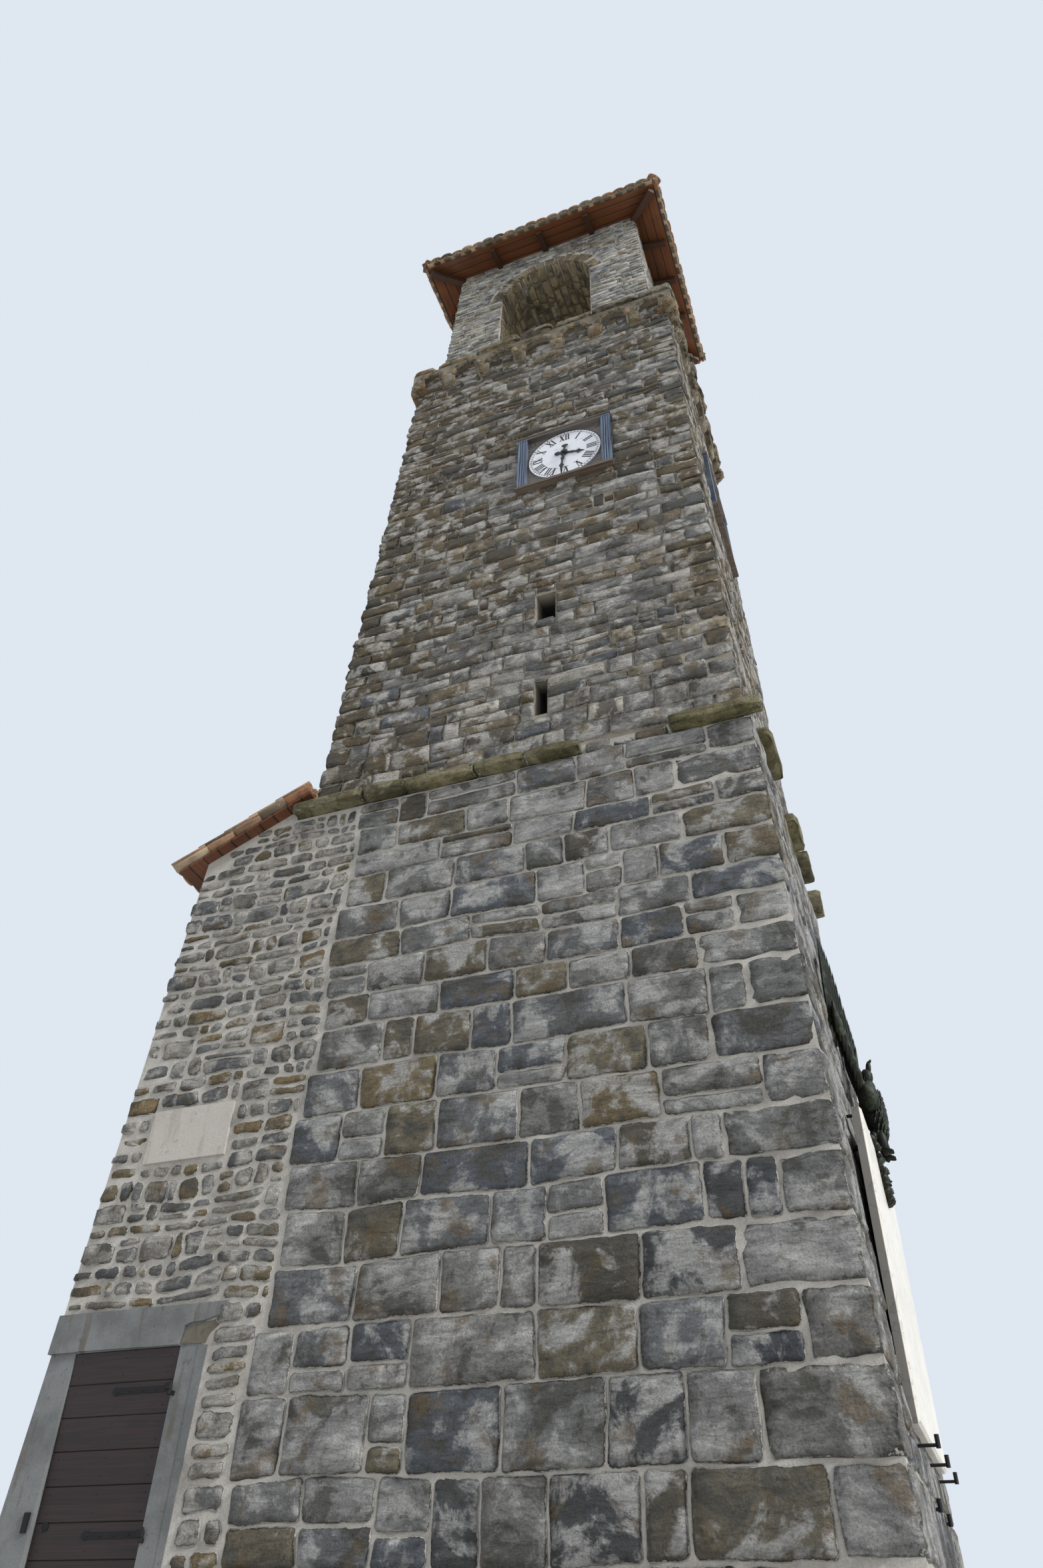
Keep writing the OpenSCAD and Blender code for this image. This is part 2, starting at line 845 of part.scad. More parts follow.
// Back panel in a raised frame with broad fluted stiles, the same on both faces
module clock_frames() {
    in_w = clock_side / 2 - clock_rail;
    in_h = clock_high / 2 - clock_cap;
    flute = clock_rail / 7;
    color("#5f6a72")
        for (side = ["front", "right"])
            on_mid_face(side)
                difference() {
                    block([-clock_side / 2, -clock_rail_t, -clock_high / 2], [clock_side / 2, -lay_gap, clock_high / 2]);
                    block([-in_w, -clock_rail_t - eps, -in_h], [in_w, -clock_panel_t, in_h]);
                    for (s = [-1, 1], k = [1, 2, 3])
                        translate([s * (in_w + k * clock_rail / 4), -clock_rail_t - flute / sqrt(2), -in_h])
                            rotate([0, 0, 45])
                                cube([flute, flute, 2 * in_h]);
                    for (s = [-1, 1])
                        translate([-in_w, -clock_rail_t - flute / sqrt(2), s * (in_h + clock_cap / 2)])
                            rotate([45, 0, 0])
                                cube([2 * in_w, flute, flute]);
                }
}

// Dials with the fixed arbors that carry the hands
module clock_dials() {
    color("#e8e8e4")
        for (side = ["front", "right"])
            on_mid_face(side)
                rotate([90, 0, 0]) {
                    translate([0, 0, clock_panel_t])
                        cylinder(r = dial_r, h = dial_t, $fn = 96);
                    translate([0, 0, dial_out - eps])
                        cylinder(r = arbor_r, h = arbor_end - dial_out + eps);
                    translate([0, 0, arbor_end])
                        cylinder(r = 2 * arbor_r, h = hand_t);
                }
}

// Flat hand with a hub, a spade near the tip and a tail weight
module clock_hand(reach, wide, out, turn) {
    color("#17181a")
        rotate([90, 0, 0])
            rotate([0, 0, -turn])
                translate([0, 0, out])
                    difference() {
                        union() {
                            cylinder(r = 3.2 * arbor_r, h = hand_t);
                            linear_extrude(height = hand_t)
                                polygon([
                                    [-wide, -reach * 0.34], [-wide / 3, -reach * 0.2],
                                    [-wide / 2, 0], [-wide / 3, reach * 0.6], [-wide, reach * 0.7],
                                    [-wide / 3, reach * 0.82], [0, reach],
                                    [wide / 3, reach * 0.82], [wide, reach * 0.7],
                                    [wide / 3, reach * 0.6], [wide / 2, 0],
                                    [wide / 3, -reach * 0.2], [wide, -reach * 0.34]
                                ]);
                        }
                        translate([0, 0, -eps])
                            cylinder(r = arbor_r + pin_fit, h = hand_t + 2 * eps);
                    }
}

module front_hour_hand() {
    on_mid_face("front")
        clock_hand(hour_len, 44, hour_out, hour_turn);
}

module front_minute_hand() {
    on_mid_face("front")
        clock_hand(minute_len, 36, minute_out, minute_turn);
}

module side_hour_hand() {
    on_mid_face("right")
        clock_hand(hour_len, 44, hour_out, hour_turn);
}

module side_minute_hand() {
    on_mid_face("right")
        clock_hand(minute_len, 36, minute_out, minute_turn);
}

// Distance of the right face of the lower stage from the middle at a height
function right_x(z) = base_w / 2 - lower_batter * z / lower_h;

// Slab with its outer edges chamfered all round
module marble_tablet() {
    c = tablet_t / 4;
    color("#e4e0d6")
        translate([tablet_x, tablet_y, tablet_z])
            intersection() {
                linear_extrude(height = tablet_h)
                    polygon([
                        [0, 0], [tablet_t - c, 0], [tablet_t, c],
                        [tablet_t, tablet_w - c], [tablet_t - c, tablet_w], [0, tablet_w]
                    ]);
                translate([0, tablet_w, 0])
                    rotate([90, 0, 0])
                        linear_extrude(height = tablet_w)
                            polygon([
                                [0, 0], [tablet_t - c, 0], [tablet_t, c],
                                [tablet_t, tablet_h - c], [tablet_t - c, tablet_h], [0, tablet_h]
                            ]);
            }
}

// Round iron arm along X up to the given place, with an upturned end
module wall_hook(y, z, tip) {
    x0 = right_x(z + iron_d) - 2 * iron_d;
    translate([x0, y, z])
        rotate([0, 90, 0])
            cylinder(d = iron_d, h = tip - x0, $fn = 24);
    translate([tip, y, z - 0.8 * iron_d])
        cylinder(d = 1.4 * iron_d, h = 3.5 * iron_d, $fn = 24);
}

// Dowels behind the tablet, the lugs on its upper edge and the hooks below it
module tablet_irons() {
    color("#33302c")
        difference() {
            union() {
                for (v = [0.12, 0.88], u = [0.1, 0.9])
                    translate([tablet_x, tablet_y + v * tablet_w, tablet_z + u * tablet_h])
                        rotate([0, -90, 0])
                            cylinder(d = 2 * iron_d, h = 2 * foot_wall / 10, $fn = 24);
                for (v = [0.08, 0.92])
                    block(
                        [0, tablet_y + v * tablet_w - iron_d, tablet_z + tablet_h],
                        [tablet_x + tablet_t, tablet_y + v * tablet_w + iron_d, tablet_z + tablet_h + iron_d / 2]
                    );
                for (v = [0.12, 0.5, 0.88])
                    wall_hook(tablet_y + v * tablet_w, tablet_z - 90, tablet_x + tablet_t + 70);
                for (v = [0.3, 0.7])
                    wall_hook(tablet_y + v * tablet_w, tablet_z - 420, tablet_x + 60);
            }
            lower_mass();
        }
}

// Eagle with raised wings that stands on brackets over the tablet
module bronze_eagle() {
    out = 230;
    foot = tablet_z + tablet_h + iron_d;
    color("#3f4a40")
        difference() {
            translate([right_x(foot), eagle_y, foot]) {
                hull() {
                    translate([out, 0, 430])
                        sphere(r = 150, $fn = 24);
                    translate([out - 50, 0, 180])
                        sphere(r = 70, $fn = 24);
                }
                hull() {
                    translate([out + 20, 0, 760])
                        sphere(r = 75, $fn = 24);
                    translate([out, 0, 520])
                        sphere(r = 95, $fn = 24);
                    translate([out + 130, 0, 745])
                        sphere(r = 20, $fn = 12);
                }
                for (s = [-1, 1])
                    hull() {
                        translate([out - 20, s * 110, 480])
                            sphere(r = 75, $fn = 16);
                        translate([out - 90, s * wing_span * 0.28, 950])
                            sphere(r = 60, $fn = 16);
                        translate([out - 190, s * wing_span * 0.47, eagle_h - 30])
                            sphere(r = 30, $fn = 16);
                        translate([out - 180, s * wing_span * 0.3, 560])
                            sphere(r = 30, $fn = 16);
                    }
                hull() {
                    translate([out - 110, 0, 260])
                        sphere(r = 60, $fn = 16);
                    translate([out - 180, 0, -360])
                        sphere(r = 60, $fn = 16);
                }
                block([-100, -110, -eps], [out + 40, 110, 44]);
                block([out - 60, -60, 40], [out + 20, 60, 200]);
            }
            lower_mass();
            translate([0, 0, -5])
                marble_tablet();
            marble_tablet();
        }
}

// Region of the annex in section, between its outer face and the tower
module annex_section(top_left, top_right) {
    polygon([
        [annex_x, 0],
        [annex_x + annex_lean * top_left, top_left],
        [-mid_left, top_right],
        [-mid_left, lower_h],
        [-lower_left, lower_h],
        [-base_w / 2, 0]
    ]);
}

// Annex as a solid block up to the underside of its roof boards
module annex_block() {
    intersection() {
        rotate([90, 0, 0])
            linear_extrude(height = base_d, center = true)
                annex_section(annex_wall_z, annex_soffit);
        rotate([90, 0, 90])
            linear_extrude(height = 4 * base_w, center = true)
                polygon([
                    [-base_d / 2, 0],
                    [base_d / 2, 0],
                    [base_d / 2 - lower_batter * mid_z / lower_h, mid_z],
                    [-base_d / 2 + lower_batter * mid_z / lower_h, mid_z]
                ]);
    }
}

module annex_gable(side) {
    difference() {
        intersection() {
            annex_block();
            block([-2 * base_w, side > 0 ? annex_half : -base_d, 0], [0, side > 0 ? base_d : -annex_half, head_z]);
        }
        string_front();
        string_back();
    }
}

module annex_front_wall() {
    color("#a39c8a")
        intersection() {
            annex_gable(-1);
            block([-2 * base_w, -base_d, door_top + lintel_h], [0, base_d, head_z]);
        }
}

module annex_back_wall() {
    color("#a39c8a")
        annex_gable(1);
}

module annex_left_wall() {
    color("#9a9382")
        difference() {
            intersection() {
                annex_block();
                rotate([90, 0, 0])
                    linear_extrude(height = 2 * annex_half, center = true)
                        polygon([
                            [annex_x, 0],
                            [annex_x + annex_lean * head_z, head_z],
                            [annex_x + annex_wall + annex_lean * head_z, head_z],
                            [annex_x + annex_wall, 0]
                        ]);
            }
            annex_rafter_bars();
        }
}

// Bare plaque that lies on the leaning front face
module annex_plaque() {
    color("#c2b8a2")
        translate([annex_x + plaque_in, -face_y(plaque_z), plaque_z])
            rotate([-lower_lean, 0, 0])
                block([0, -plaque_t, 0], [plaque_w, 0, plaque_h]);
}

// Slice of the annex front between two heights and two places along X
module front_slice(x0, x1, z0, z1) {
    intersection() {
        annex_block();
        block([x0, -base_d, z0], [x1, -annex_half, z1]);
    }
}

module door_jambs() {
    color("#83898a") {
        front_slice(2 * annex_x, door_x0, 0, door_top);
        front_slice(door_x1, 0, 0, door_top);
    }
}

module door_lintel() {
    color("#83898a")
        front_slice(2 * annex_x, 0, door_top, door_top + lintel_h);
}

module door_sill() {
    color("#8d9090")
        front_slice(door_x0, door_x1, 0, floor_t);
}

// Leaf of level boards, hung on the right jamb
module door_leaf() {
    pitch_z = leaf_h / door_boards;
    color("#3b2420")
        translate([door_x0 + lock_gap, leaf_y, leaf_z])
            difference() {
                cube([leaf_w, leaf_t, leaf_h]);
                for (i = [1 : door_boards - 1])
                    translate([-eps, 0, i * pitch_z])
                        rotate([45, 0, 0])
                            translate([0, -groove / 2, -groove / 2])
                                cube([leaf_w + 2 * eps, groove, groove]);
            }
}

// Strap with its knuckle, drawn with the pin on the origin
module hinge_strap() {
    on_leaf = leaf_y - pin_y;
    crank_x = -40;
    difference() {
        union() {
            translate([0, 0, -strap_h / 2])
                cylinder(r = knuckle_r, h = strap_h);
            translate([0, 0, -strap_h / 2])
                linear_extrude(height = strap_h)
                    polygon([
                        [0, -knuckle_r], [0, -knuckle_r + strap_t],
                        [crank_x + strap_t, -knuckle_r + strap_t], [crank_x + strap_t, on_leaf],
                        [-strap_len, on_leaf], [-strap_len, on_leaf - strap_t],
                        [crank_x, on_leaf - strap_t], [crank_x, -knuckle_r]
                    ]);
            translate([-strap_len, on_leaf, 0])
                rotate([90, 0, 0])
                    cylinder(d = 1.3 * strap_h, h = strap_t);
        }
        translate([0, 0, -strap_h])
            cylinder(r = pin_r + pin_fit, h = 2 * strap_h);
    }
}

// Both straps and the round lock plate, fixed to the leaf
module door_straps() {
    color("#1d1c1b") {
        for (z = [hinge_low_z, hinge_top_z])
            translate([pin_x, pin_y, z])
                hinge_strap();
        translate([door_x0 + lock_gap + 90, leaf_y, hinge_low_z + 60])
            rotate([90, 0, 0])
                cylinder(r = 30, h = strap_t, $fn = 32);
    }
}

// Pins set in the right jamb and the keeper on the left one
module door_pintles() {
    color("#1d1c1b") {
        for (z = [hinge_low_z, hinge_top_z])
            difference() {
                union() {
                    translate([pin_x, pin_y, z - strap_h / 2 - 34])
                        cylinder(r = pin_r, h = strap_h + 50);
                    translate([pin_x, pin_y, z - strap_h / 2 - 34])
                        cylinder(r = knuckle_r, h = 30);
                    block(
                        [pin_x - 10, pin_y, z - strap_h / 2 - 34],
                        [pin_x + 10, pin_y + 200, z - strap_h / 2 - 4]
                    );
                }
                door_jambs();
            }
        difference() {
            block(
                [door_x0 - 70, -face_y(hinge_low_z) - 14, hinge_low_z + 20],
                [door_x0 - 22, -face_y(hinge_low_z) + 40, hinge_low_z + 150]
            );
            door_jambs();
        }
    }
}

// Rafters of the annex, from the tower to the eave over the outer wall
module annex_rafter_bars() {
    step = 2 * (annex_half - 220) / (annex_rafters_n - 1);
    x0 = annex_edge + rafter_back;
    z0 = annex_soffit + (x0 + mid_left) * annex_pitch;
    for (i = [0 : annex_rafters_n - 1])
        translate([0, -annex_half + 220 + i * step, 0])
            rotate([90, 0, 0])
                linear_extrude(height = annex_rafter_w, center = true)
                    polygon([
                        [x0, z0],
                        [x0, z0 - annex_rafter_v],
                        [-mid_left, annex_soffit - annex_rafter_v],
                        [-mid_left, annex_soffit]
                    ]);
}

module annex_rafters() {
    color("#6a3319")
        annex_rafter_bars();
}

// Sloping sheet over the annex between two heights above the rafters
module annex_sheet(z_low, z_high, lip) {
    x0 = annex_edge - lip;
    fall = (x0 + mid_left) * annex_pitch;
    half = face_y(annex_wall_z) + annex_verge + lip;
    difference() {
        rotate([90, 0, 0])
            linear_extrude(height = 2 * half, center = true)
                polygon([
                    [x0, annex_soffit + fall + z_low],
                    [x0, annex_soffit + fall + z_high],
                    [-mid_left, annex_soffit + z_high],
                    [-mid_left, annex_soffit + z_low]
                ]);
        string_front();
        string_back();
        mid_mass();
    }
}

module annex_boards() {
    color("#8a3f1c")
        annex_sheet(lay_gap, annex_board_v, 0);
}

module annex_tiles() {
    color("#b98a63")
        annex_sheet(annex_board_v + lay_gap, annex_cover, 30);
}

lower_front_wall();
lower_back_wall();
lower_side_walls();
ground_floor();
string_front();
string_right();
string_back();
mid_front_wall();
mid_back_wall();
mid_side_walls();
cornice_arches();
cornice_slabs();
belfry_floor();
belfry_front_wall();
belfry_back_wall();
belfry_side_walls();
belfry_vault();
belfry_bars();
wall_plate();
hip_rafters();
common_rafters();
roof_boards();
roof_tiles();
hip_tiles();
clock_frames();
clock_dials();
front_hour_hand();
front_minute_hand();
side_hour_hand();
side_minute_hand();
marble_tablet();
tablet_irons();
bronze_eagle();
annex_front_wall();
annex_left_wall();
annex_back_wall();
annex_plaque();
door_jambs();
door_lintel();
door_sill();
door_leaf();
door_straps();
door_pintles();
annex_rafters();
annex_boards();
annex_tiles();
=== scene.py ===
import math
import random

import bmesh
import bpy
from mathutils import Matrix, Vector, noise


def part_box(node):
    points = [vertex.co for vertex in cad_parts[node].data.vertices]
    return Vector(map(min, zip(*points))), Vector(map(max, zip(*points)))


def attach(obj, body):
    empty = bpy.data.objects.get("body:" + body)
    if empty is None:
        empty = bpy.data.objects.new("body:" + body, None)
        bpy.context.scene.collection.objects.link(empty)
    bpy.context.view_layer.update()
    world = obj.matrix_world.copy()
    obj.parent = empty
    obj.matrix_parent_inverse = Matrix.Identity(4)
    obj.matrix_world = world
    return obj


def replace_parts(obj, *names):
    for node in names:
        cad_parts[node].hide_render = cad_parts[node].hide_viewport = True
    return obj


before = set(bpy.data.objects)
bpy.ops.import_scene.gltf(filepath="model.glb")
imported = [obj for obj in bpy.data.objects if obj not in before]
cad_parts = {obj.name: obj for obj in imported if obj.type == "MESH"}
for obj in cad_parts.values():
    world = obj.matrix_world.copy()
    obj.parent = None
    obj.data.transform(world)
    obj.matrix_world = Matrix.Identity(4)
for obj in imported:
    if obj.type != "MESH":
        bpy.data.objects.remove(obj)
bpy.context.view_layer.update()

# View: the tower is seen from the foot of its front right corner, with the
# camera close to the ground and turned steeply up, as a pinhole with no shift.
YAW, PITCH, ROLL = math.radians(21.316), math.radians(39.017), math.radians(0.935)
EYE = (3.1393, -10.1222, 0.0293)
FOCAL_PX, FRAME_PX = 1635.6, 2357
camera = bpy.data.objects.new("view", bpy.data.cameras.new("view"))
bpy.context.collection.objects.link(camera)
camera.data.sensor_width = 36.0
camera.data.lens = 36.0 * FOCAL_PX / FRAME_PX
ahead = Vector((
    -math.sin(YAW) * math.cos(PITCH), math.cos(YAW) * math.cos(PITCH), math.sin(PITCH),
))
across = Vector((math.cos(YAW), math.sin(YAW), 0))
upward = across.cross(ahead)
across, upward = (
    math.cos(ROLL) * across + math.sin(ROLL) * upward,
    math.cos(ROLL) * upward - math.sin(ROLL) * across,
)
turned = Matrix((across, upward, -ahead)).transposed().to_4x4()
camera.matrix_world = Matrix.Translation(EYE) @ turned
bpy.context.scene.camera = camera

# Studio: a pale matt floor that the tower stands on, an even pale surround and
# one broad soft lamp from the right, as low sun on the right face would be.
FLOOR_HALF = 150


def plug(node, values):
    """Sets or links a node's inputs. A node given as a value stands for its output."""
    for key, value in values.items():
        if isinstance(value, bpy.types.Node):
            value = next(out for out in value.outputs if out.enabled)
        if isinstance(value, bpy.types.NodeSocket):
            node.id_data.links.new(value, node.inputs[key])
        else:
            node.inputs[key].default_value = value


def add(mat, kind, values=None, **settings):
    """Adds one shader node: its settings, then values or links for its inputs."""
    new = mat.node_tree.nodes.new("ShaderNode" + kind)
    for key, value in settings.items():
        setattr(new, key, value)
    plug(new, values or {})
    return new


def rgb(code):
    """Linear colour of an sRGB hex value."""
    parts = [int(code[i:i + 2], 16) / 255 for i in (0, 2, 4)]
    parts = [p / 12.92 if p < 0.04045 else ((p + 0.055) / 1.055) ** 2.4 for p in parts]
    return (*parts, 1.0)


def surface(name, roughness, metallic=0.0):
    """New material with its shader and the object's own coordinates in metres."""
    mat = bpy.data.materials.new(name)
    mat.use_nodes = True
    shader = mat.node_tree.nodes["Principled BSDF"]
    plug(shader, {"Roughness": roughness, "Metallic": metallic})
    return mat, shader, add(mat, "TexCoord").outputs["Object"]


floor_mat, floor_shader, _ = surface("pale_floor_paint", 0.9)
plug(floor_shader, {"Base Color": rgb("d9d7d2")})
bm = bmesh.new()
bmesh.ops.create_grid(bm, x_segments=1, y_segments=1, size=FLOOR_HALF)
floor_mesh = bpy.data.meshes.new("studio_floor")
bm.to_mesh(floor_mesh)
bm.free()
floor_mesh.materials.append(floor_mat)
studio_floor = bpy.data.objects.new("studio_floor", floor_mesh)
bpy.context.collection.objects.link(studio_floor)

world = bpy.data.worlds.new("surround")
bpy.context.scene.world = world
world.use_nodes = True
ray = add(world, "LightPath").outputs
seen = add(world, "Math", {0: ray["Is Camera Ray"], 1: ray["Is Glossy Ray"]}, operation="MAXIMUM")
shown = add(world, "Mix", {0: seen, 6: rgb("f2f5fb"), 7: rgb("dfe7f1")}, data_type="RGBA")
level = add(world, "Mix", {0: seen, 2: 0.80, 3: 1.0}, data_type="FLOAT")
plug(world.node_tree.nodes["Background"], {"Color": shown, "Strength": level})

lamp = bpy.data.objects.new("side_light", bpy.data.lights.new("side_light", "SUN"))
bpy.context.collection.objects.link(lamp)
lamp.data.energy = 2.9
lamp.data.angle = math.radians(10)
lamp.data.color = (1.0, 0.975, 0.94)
lamp.rotation_euler = (math.radians(54), 0, math.radians(78))
bpy.context.scene.view_settings.view_transform = "Standard"

# Lower stage: thick walls of squared limestone and sandstone blocks, weathered
# grey and brown, bedded in pale lime mortar that is smeared over their edges.
# The blocks are split by hand, so their faces are uneven and their arrises worn.
WALL_X, WALL_Y, LOWER_TOP, BATTER = 2.62, 2.22, 7.34, 0.26
FOOT_LEAN = BATTER / LOWER_TOP


def stone_finish(name, dark, stain, film, size_mm, relief_mm, smeared=0.0, lime="b6b4af"):
    """Natural stone. Each block has its own colour in the attribute "stone", which
    also shifts the patterns, so that they stop at its joints: dark and pale skins
    with sharp borders, iron stains, pits, and mortar smeared in from the rim. Near
    the rim, where the attribute's alpha is low, painted shade darkens the stone as
    if its joints were in shadow."""
    mat, shader, place = surface(name, 0.88)
    block = add(mat, "Attribute", attribute_name="stone")
    own = add(mat, "VectorMath", {
        0: block.outputs["Color"], 1: (43.0, 31.0, 37.0), 2: place,
    }, operation="MULTIPLY_ADD")
    wide = add(mat, "TexNoise", {
        "Vector": own, "Scale": 1000 / size_mm, "Detail": 9.0, "Roughness": 0.66,
        "Distortion": 0.35,
    })
    rust = add(mat, "TexNoise", {
        "Vector": own, "Scale": 1400 / size_mm, "Detail": 7.0, "Roughness": 0.6, "W": 3.0,
    }, noise_dimensions="4D")
    veil = add(mat, "TexNoise", {
        "Vector": place, "Scale": 1 / 0.045, "Detail": 6.0, "Roughness": 0.72,
    })
    grain = add(mat, "TexNoise", {
        "Vector": place, "Scale": 1 / 0.016, "Detail": 3.0, "Roughness": 0.7,
    })
    streak = add(mat, "Mapping", {0: own, 3: (4.0, 4.0, 15.0)})
    bed = add(mat, "TexNoise", {
        "Vector": streak, "Scale": 1.0, "Detail": 7.0, "Roughness": 0.7, "Distortion": 0.9,
    })
    pale = add(mat, "MapRange", {0: wide, 1: 0.50, 2: 0.57, 3: 0.0, 4: 0.85})
    deep = add(mat, "MapRange", {0: wide, 1: 0.455, 2: 0.40, 3: 0.0, 4: 0.85})
    iron = add(mat, "MapRange", {0: rust, 1: 0.56, 2: 0.62, 3: 0.0, 4: 0.62})
    one = add(mat, "Mix", {0: pale, 6: block.outputs["Color"], 7: rgb(film)}, data_type="RGBA")
    two = add(mat, "Mix", {0: deep, 6: one, 7: rgb(dark)}, data_type="RGBA")
    three = add(mat, "Mix", {0: iron, 6: two, 7: rgb(stain)}, data_type="RGBA")
    shade = add(mat, "MapRange", {0: bed, 1: 0.34, 2: 0.66, 3: 0.6, 4: 1.36})
    fleck = add(mat, "MapRange", {0: grain, 1: 0.34, 2: 0.68, 3: 0.72, 4: 1.22})
    pit = add(mat, "MapRange", {0: veil, 1: 0.40, 2: 0.34, 3: 1.0, 4: 0.5})
    tone = add(mat, "Math", {0: shade, 1: fleck}, operation="MULTIPLY")
    tone = add(mat, "Math", {0: tone, 1: pit}, operation="MULTIPLY")
    # Painted shade: near each stone's rim, marked by a low alpha in "stone", the colour is darkened
    # as if the joints were in shadow.
    rim = add(mat, "Math", {0: block.outputs["Alpha"], 1: 0.8, 2: veil}, operation="MULTIPLY_ADD")
    painted_joint_shade = add(mat, "MapRange", {0: rim, 1: 0.66 + smeared, 2: 0.82 + smeared, 3: 0.36, 4: 1.0})
    tone = add(mat, "Math", {0: tone, 1: painted_joint_shade}, operation="MULTIPLY")
    four = add(mat, "Mix", {0: 1.0, 6: three, 7: tone}, data_type="RGBA", blend_type="MULTIPLY")
    wash = add(mat, "Math", {0: rust, 1: 0.9, 2: rim}, operation="MULTIPLY_ADD")
    smear = add(mat, "MapRange", {0: wash, 1: 1.01 + smeared, 2: 1.09 + smeared, 3: 1.0, 4: 0.0})
    five = add(mat, "Mix", {0: smear, 6: four, 7: rgb(lime)}, data_type="RGBA")
    rough = add(mat, "Math", {0: veil, 1: 1.2, 2: grain}, operation="MULTIPLY_ADD")
    split = add(mat, "Math", {0: bed, 1: 2.6, 2: rough}, operation="MULTIPLY_ADD")
    scale = add(mat, "Math", {0: wide, 1: 3.0, 2: split}, operation="MULTIPLY_ADD")
    bump = add(mat, "Bump", {"Height": scale, "Distance": relief_mm / 1000, "Strength": 1.0})
    plug(shader, {"Base Color": five, "Normal": bump})
    return mat


def mortar_finish(name, colour, dark, grit_mm, face=None):
    """Lime mortar: sandy, trowelled off rough, greyer where water has run over it.
    Behind a front face y = -(face[0] - face[1] * z) the colour is darkened to face[2], painted
    shade for the recesses of the openings in the wall."""
    mat, shader, place = surface(name, 0.95)
    run = add(mat, "TexNoise", {
        "Vector": place, "Scale": 1 / 0.35, "Detail": 6.0, "Roughness": 0.65,
    })
    grit = add(mat, "TexNoise", {
        "Vector": place, "Scale": 1000 / grit_mm, "Detail": 5.0, "Roughness": 0.7,
    })
    darkening = add(mat, "MapRange", {0: run, 1: 0.42, 2: 0.7})
    base = add(mat, "Mix", {0: darkening, 6: rgb(colour), 7: rgb(dark)}, data_type="RGBA")
    speck = add(mat, "MapRange", {0: grit, 1: 0.3, 2: 0.72, 3: 0.74, 4: 1.12})
    mixed = add(mat, "Mix", {0: 1.0, 6: base, 7: speck}, data_type="RGBA", blend_type="MULTIPLY")
    if face:
        # Painted shade: the mortar grows darker with depth behind the front face, as the inside of
        # an opening would be in shadow.
        at = add(mat, "SeparateXYZ", {0: place})
        deep = add(mat, "Math", {
            0: at.outputs[2], 1: -face[1], 2: at.outputs[1],
        }, operation="MULTIPLY_ADD")
        darkening = add(mat, "MapRange", {
            0: deep, 1: 0.05 - face[0], 2: 0.22 - face[0], 3: 1.0, 4: face[2],
        })
        mixed = add(mat, "Mix", {
            0: 1.0, 6: mixed, 7: darkening,
        }, data_type="RGBA", blend_type="MULTIPLY")
    bump = add(mat, "Bump", {"Height": grit, "Distance": 0.012, "Strength": 0.9})
    plug(shader, {"Base Color": mixed, "Normal": bump})
    return mat


def finish(material, *names):
    """Gives carried-over nodes their real finish."""
    for name in names:
        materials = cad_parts[name].data.materials
        if not materials:
            materials.append(material)
        for i in range(len(materials)):
            materials[i] = material


def piece(name, bm, slot, *materials, body="tower", smooth=True):
    """Turns a finished bmesh into an object that rides on a body."""
    mesh = bpy.data.meshes.new(name)
    bm.to_mesh(mesh)
    bm.free()
    for material in materials:
        mesh.materials.append(material)
    mesh.polygons.foreach_set("use_smooth", [smooth] * len(mesh.polygons))
    ob = bpy.data.objects.new(name, mesh)
    bpy.context.collection.objects.link(ob)
    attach(ob, body)
    return ob


def pick(rng, palette):
    """One stone's colour: a palette entry, a little lighter or darker than it."""
    code = rng.choices([p[0] for p in palette], [p[1] for p in palette])[0]
    tone = rng.uniform(0.80, 1.22)
    return tuple(min(1.0, c * tone) for c in rgb(code)[:3])


def cell_mesh():
    """Mesh of separate cells, whose points know their colour, place and number."""
    bm = bmesh.new()
    tint = bm.verts.layers.float_color.new("stone")
    return bm, tint, bm.verts.layers.float_vector.new("unit")


def add_cell(bm, tint, unit, corners, colour, number):
    """Adds a four-sided cell; unit is a point's share of its length and height."""
    verts = []
    for corner, (a, b) in zip(corners, ((0, 0), (1, 0), (1, 1), (0, 1))):
        v = bm.verts.new(corner)
        v[tint] = (*colour, 1.0)
        v[unit] = (a, b, number)
        verts.append(v)
    bm.faces.new(verts)


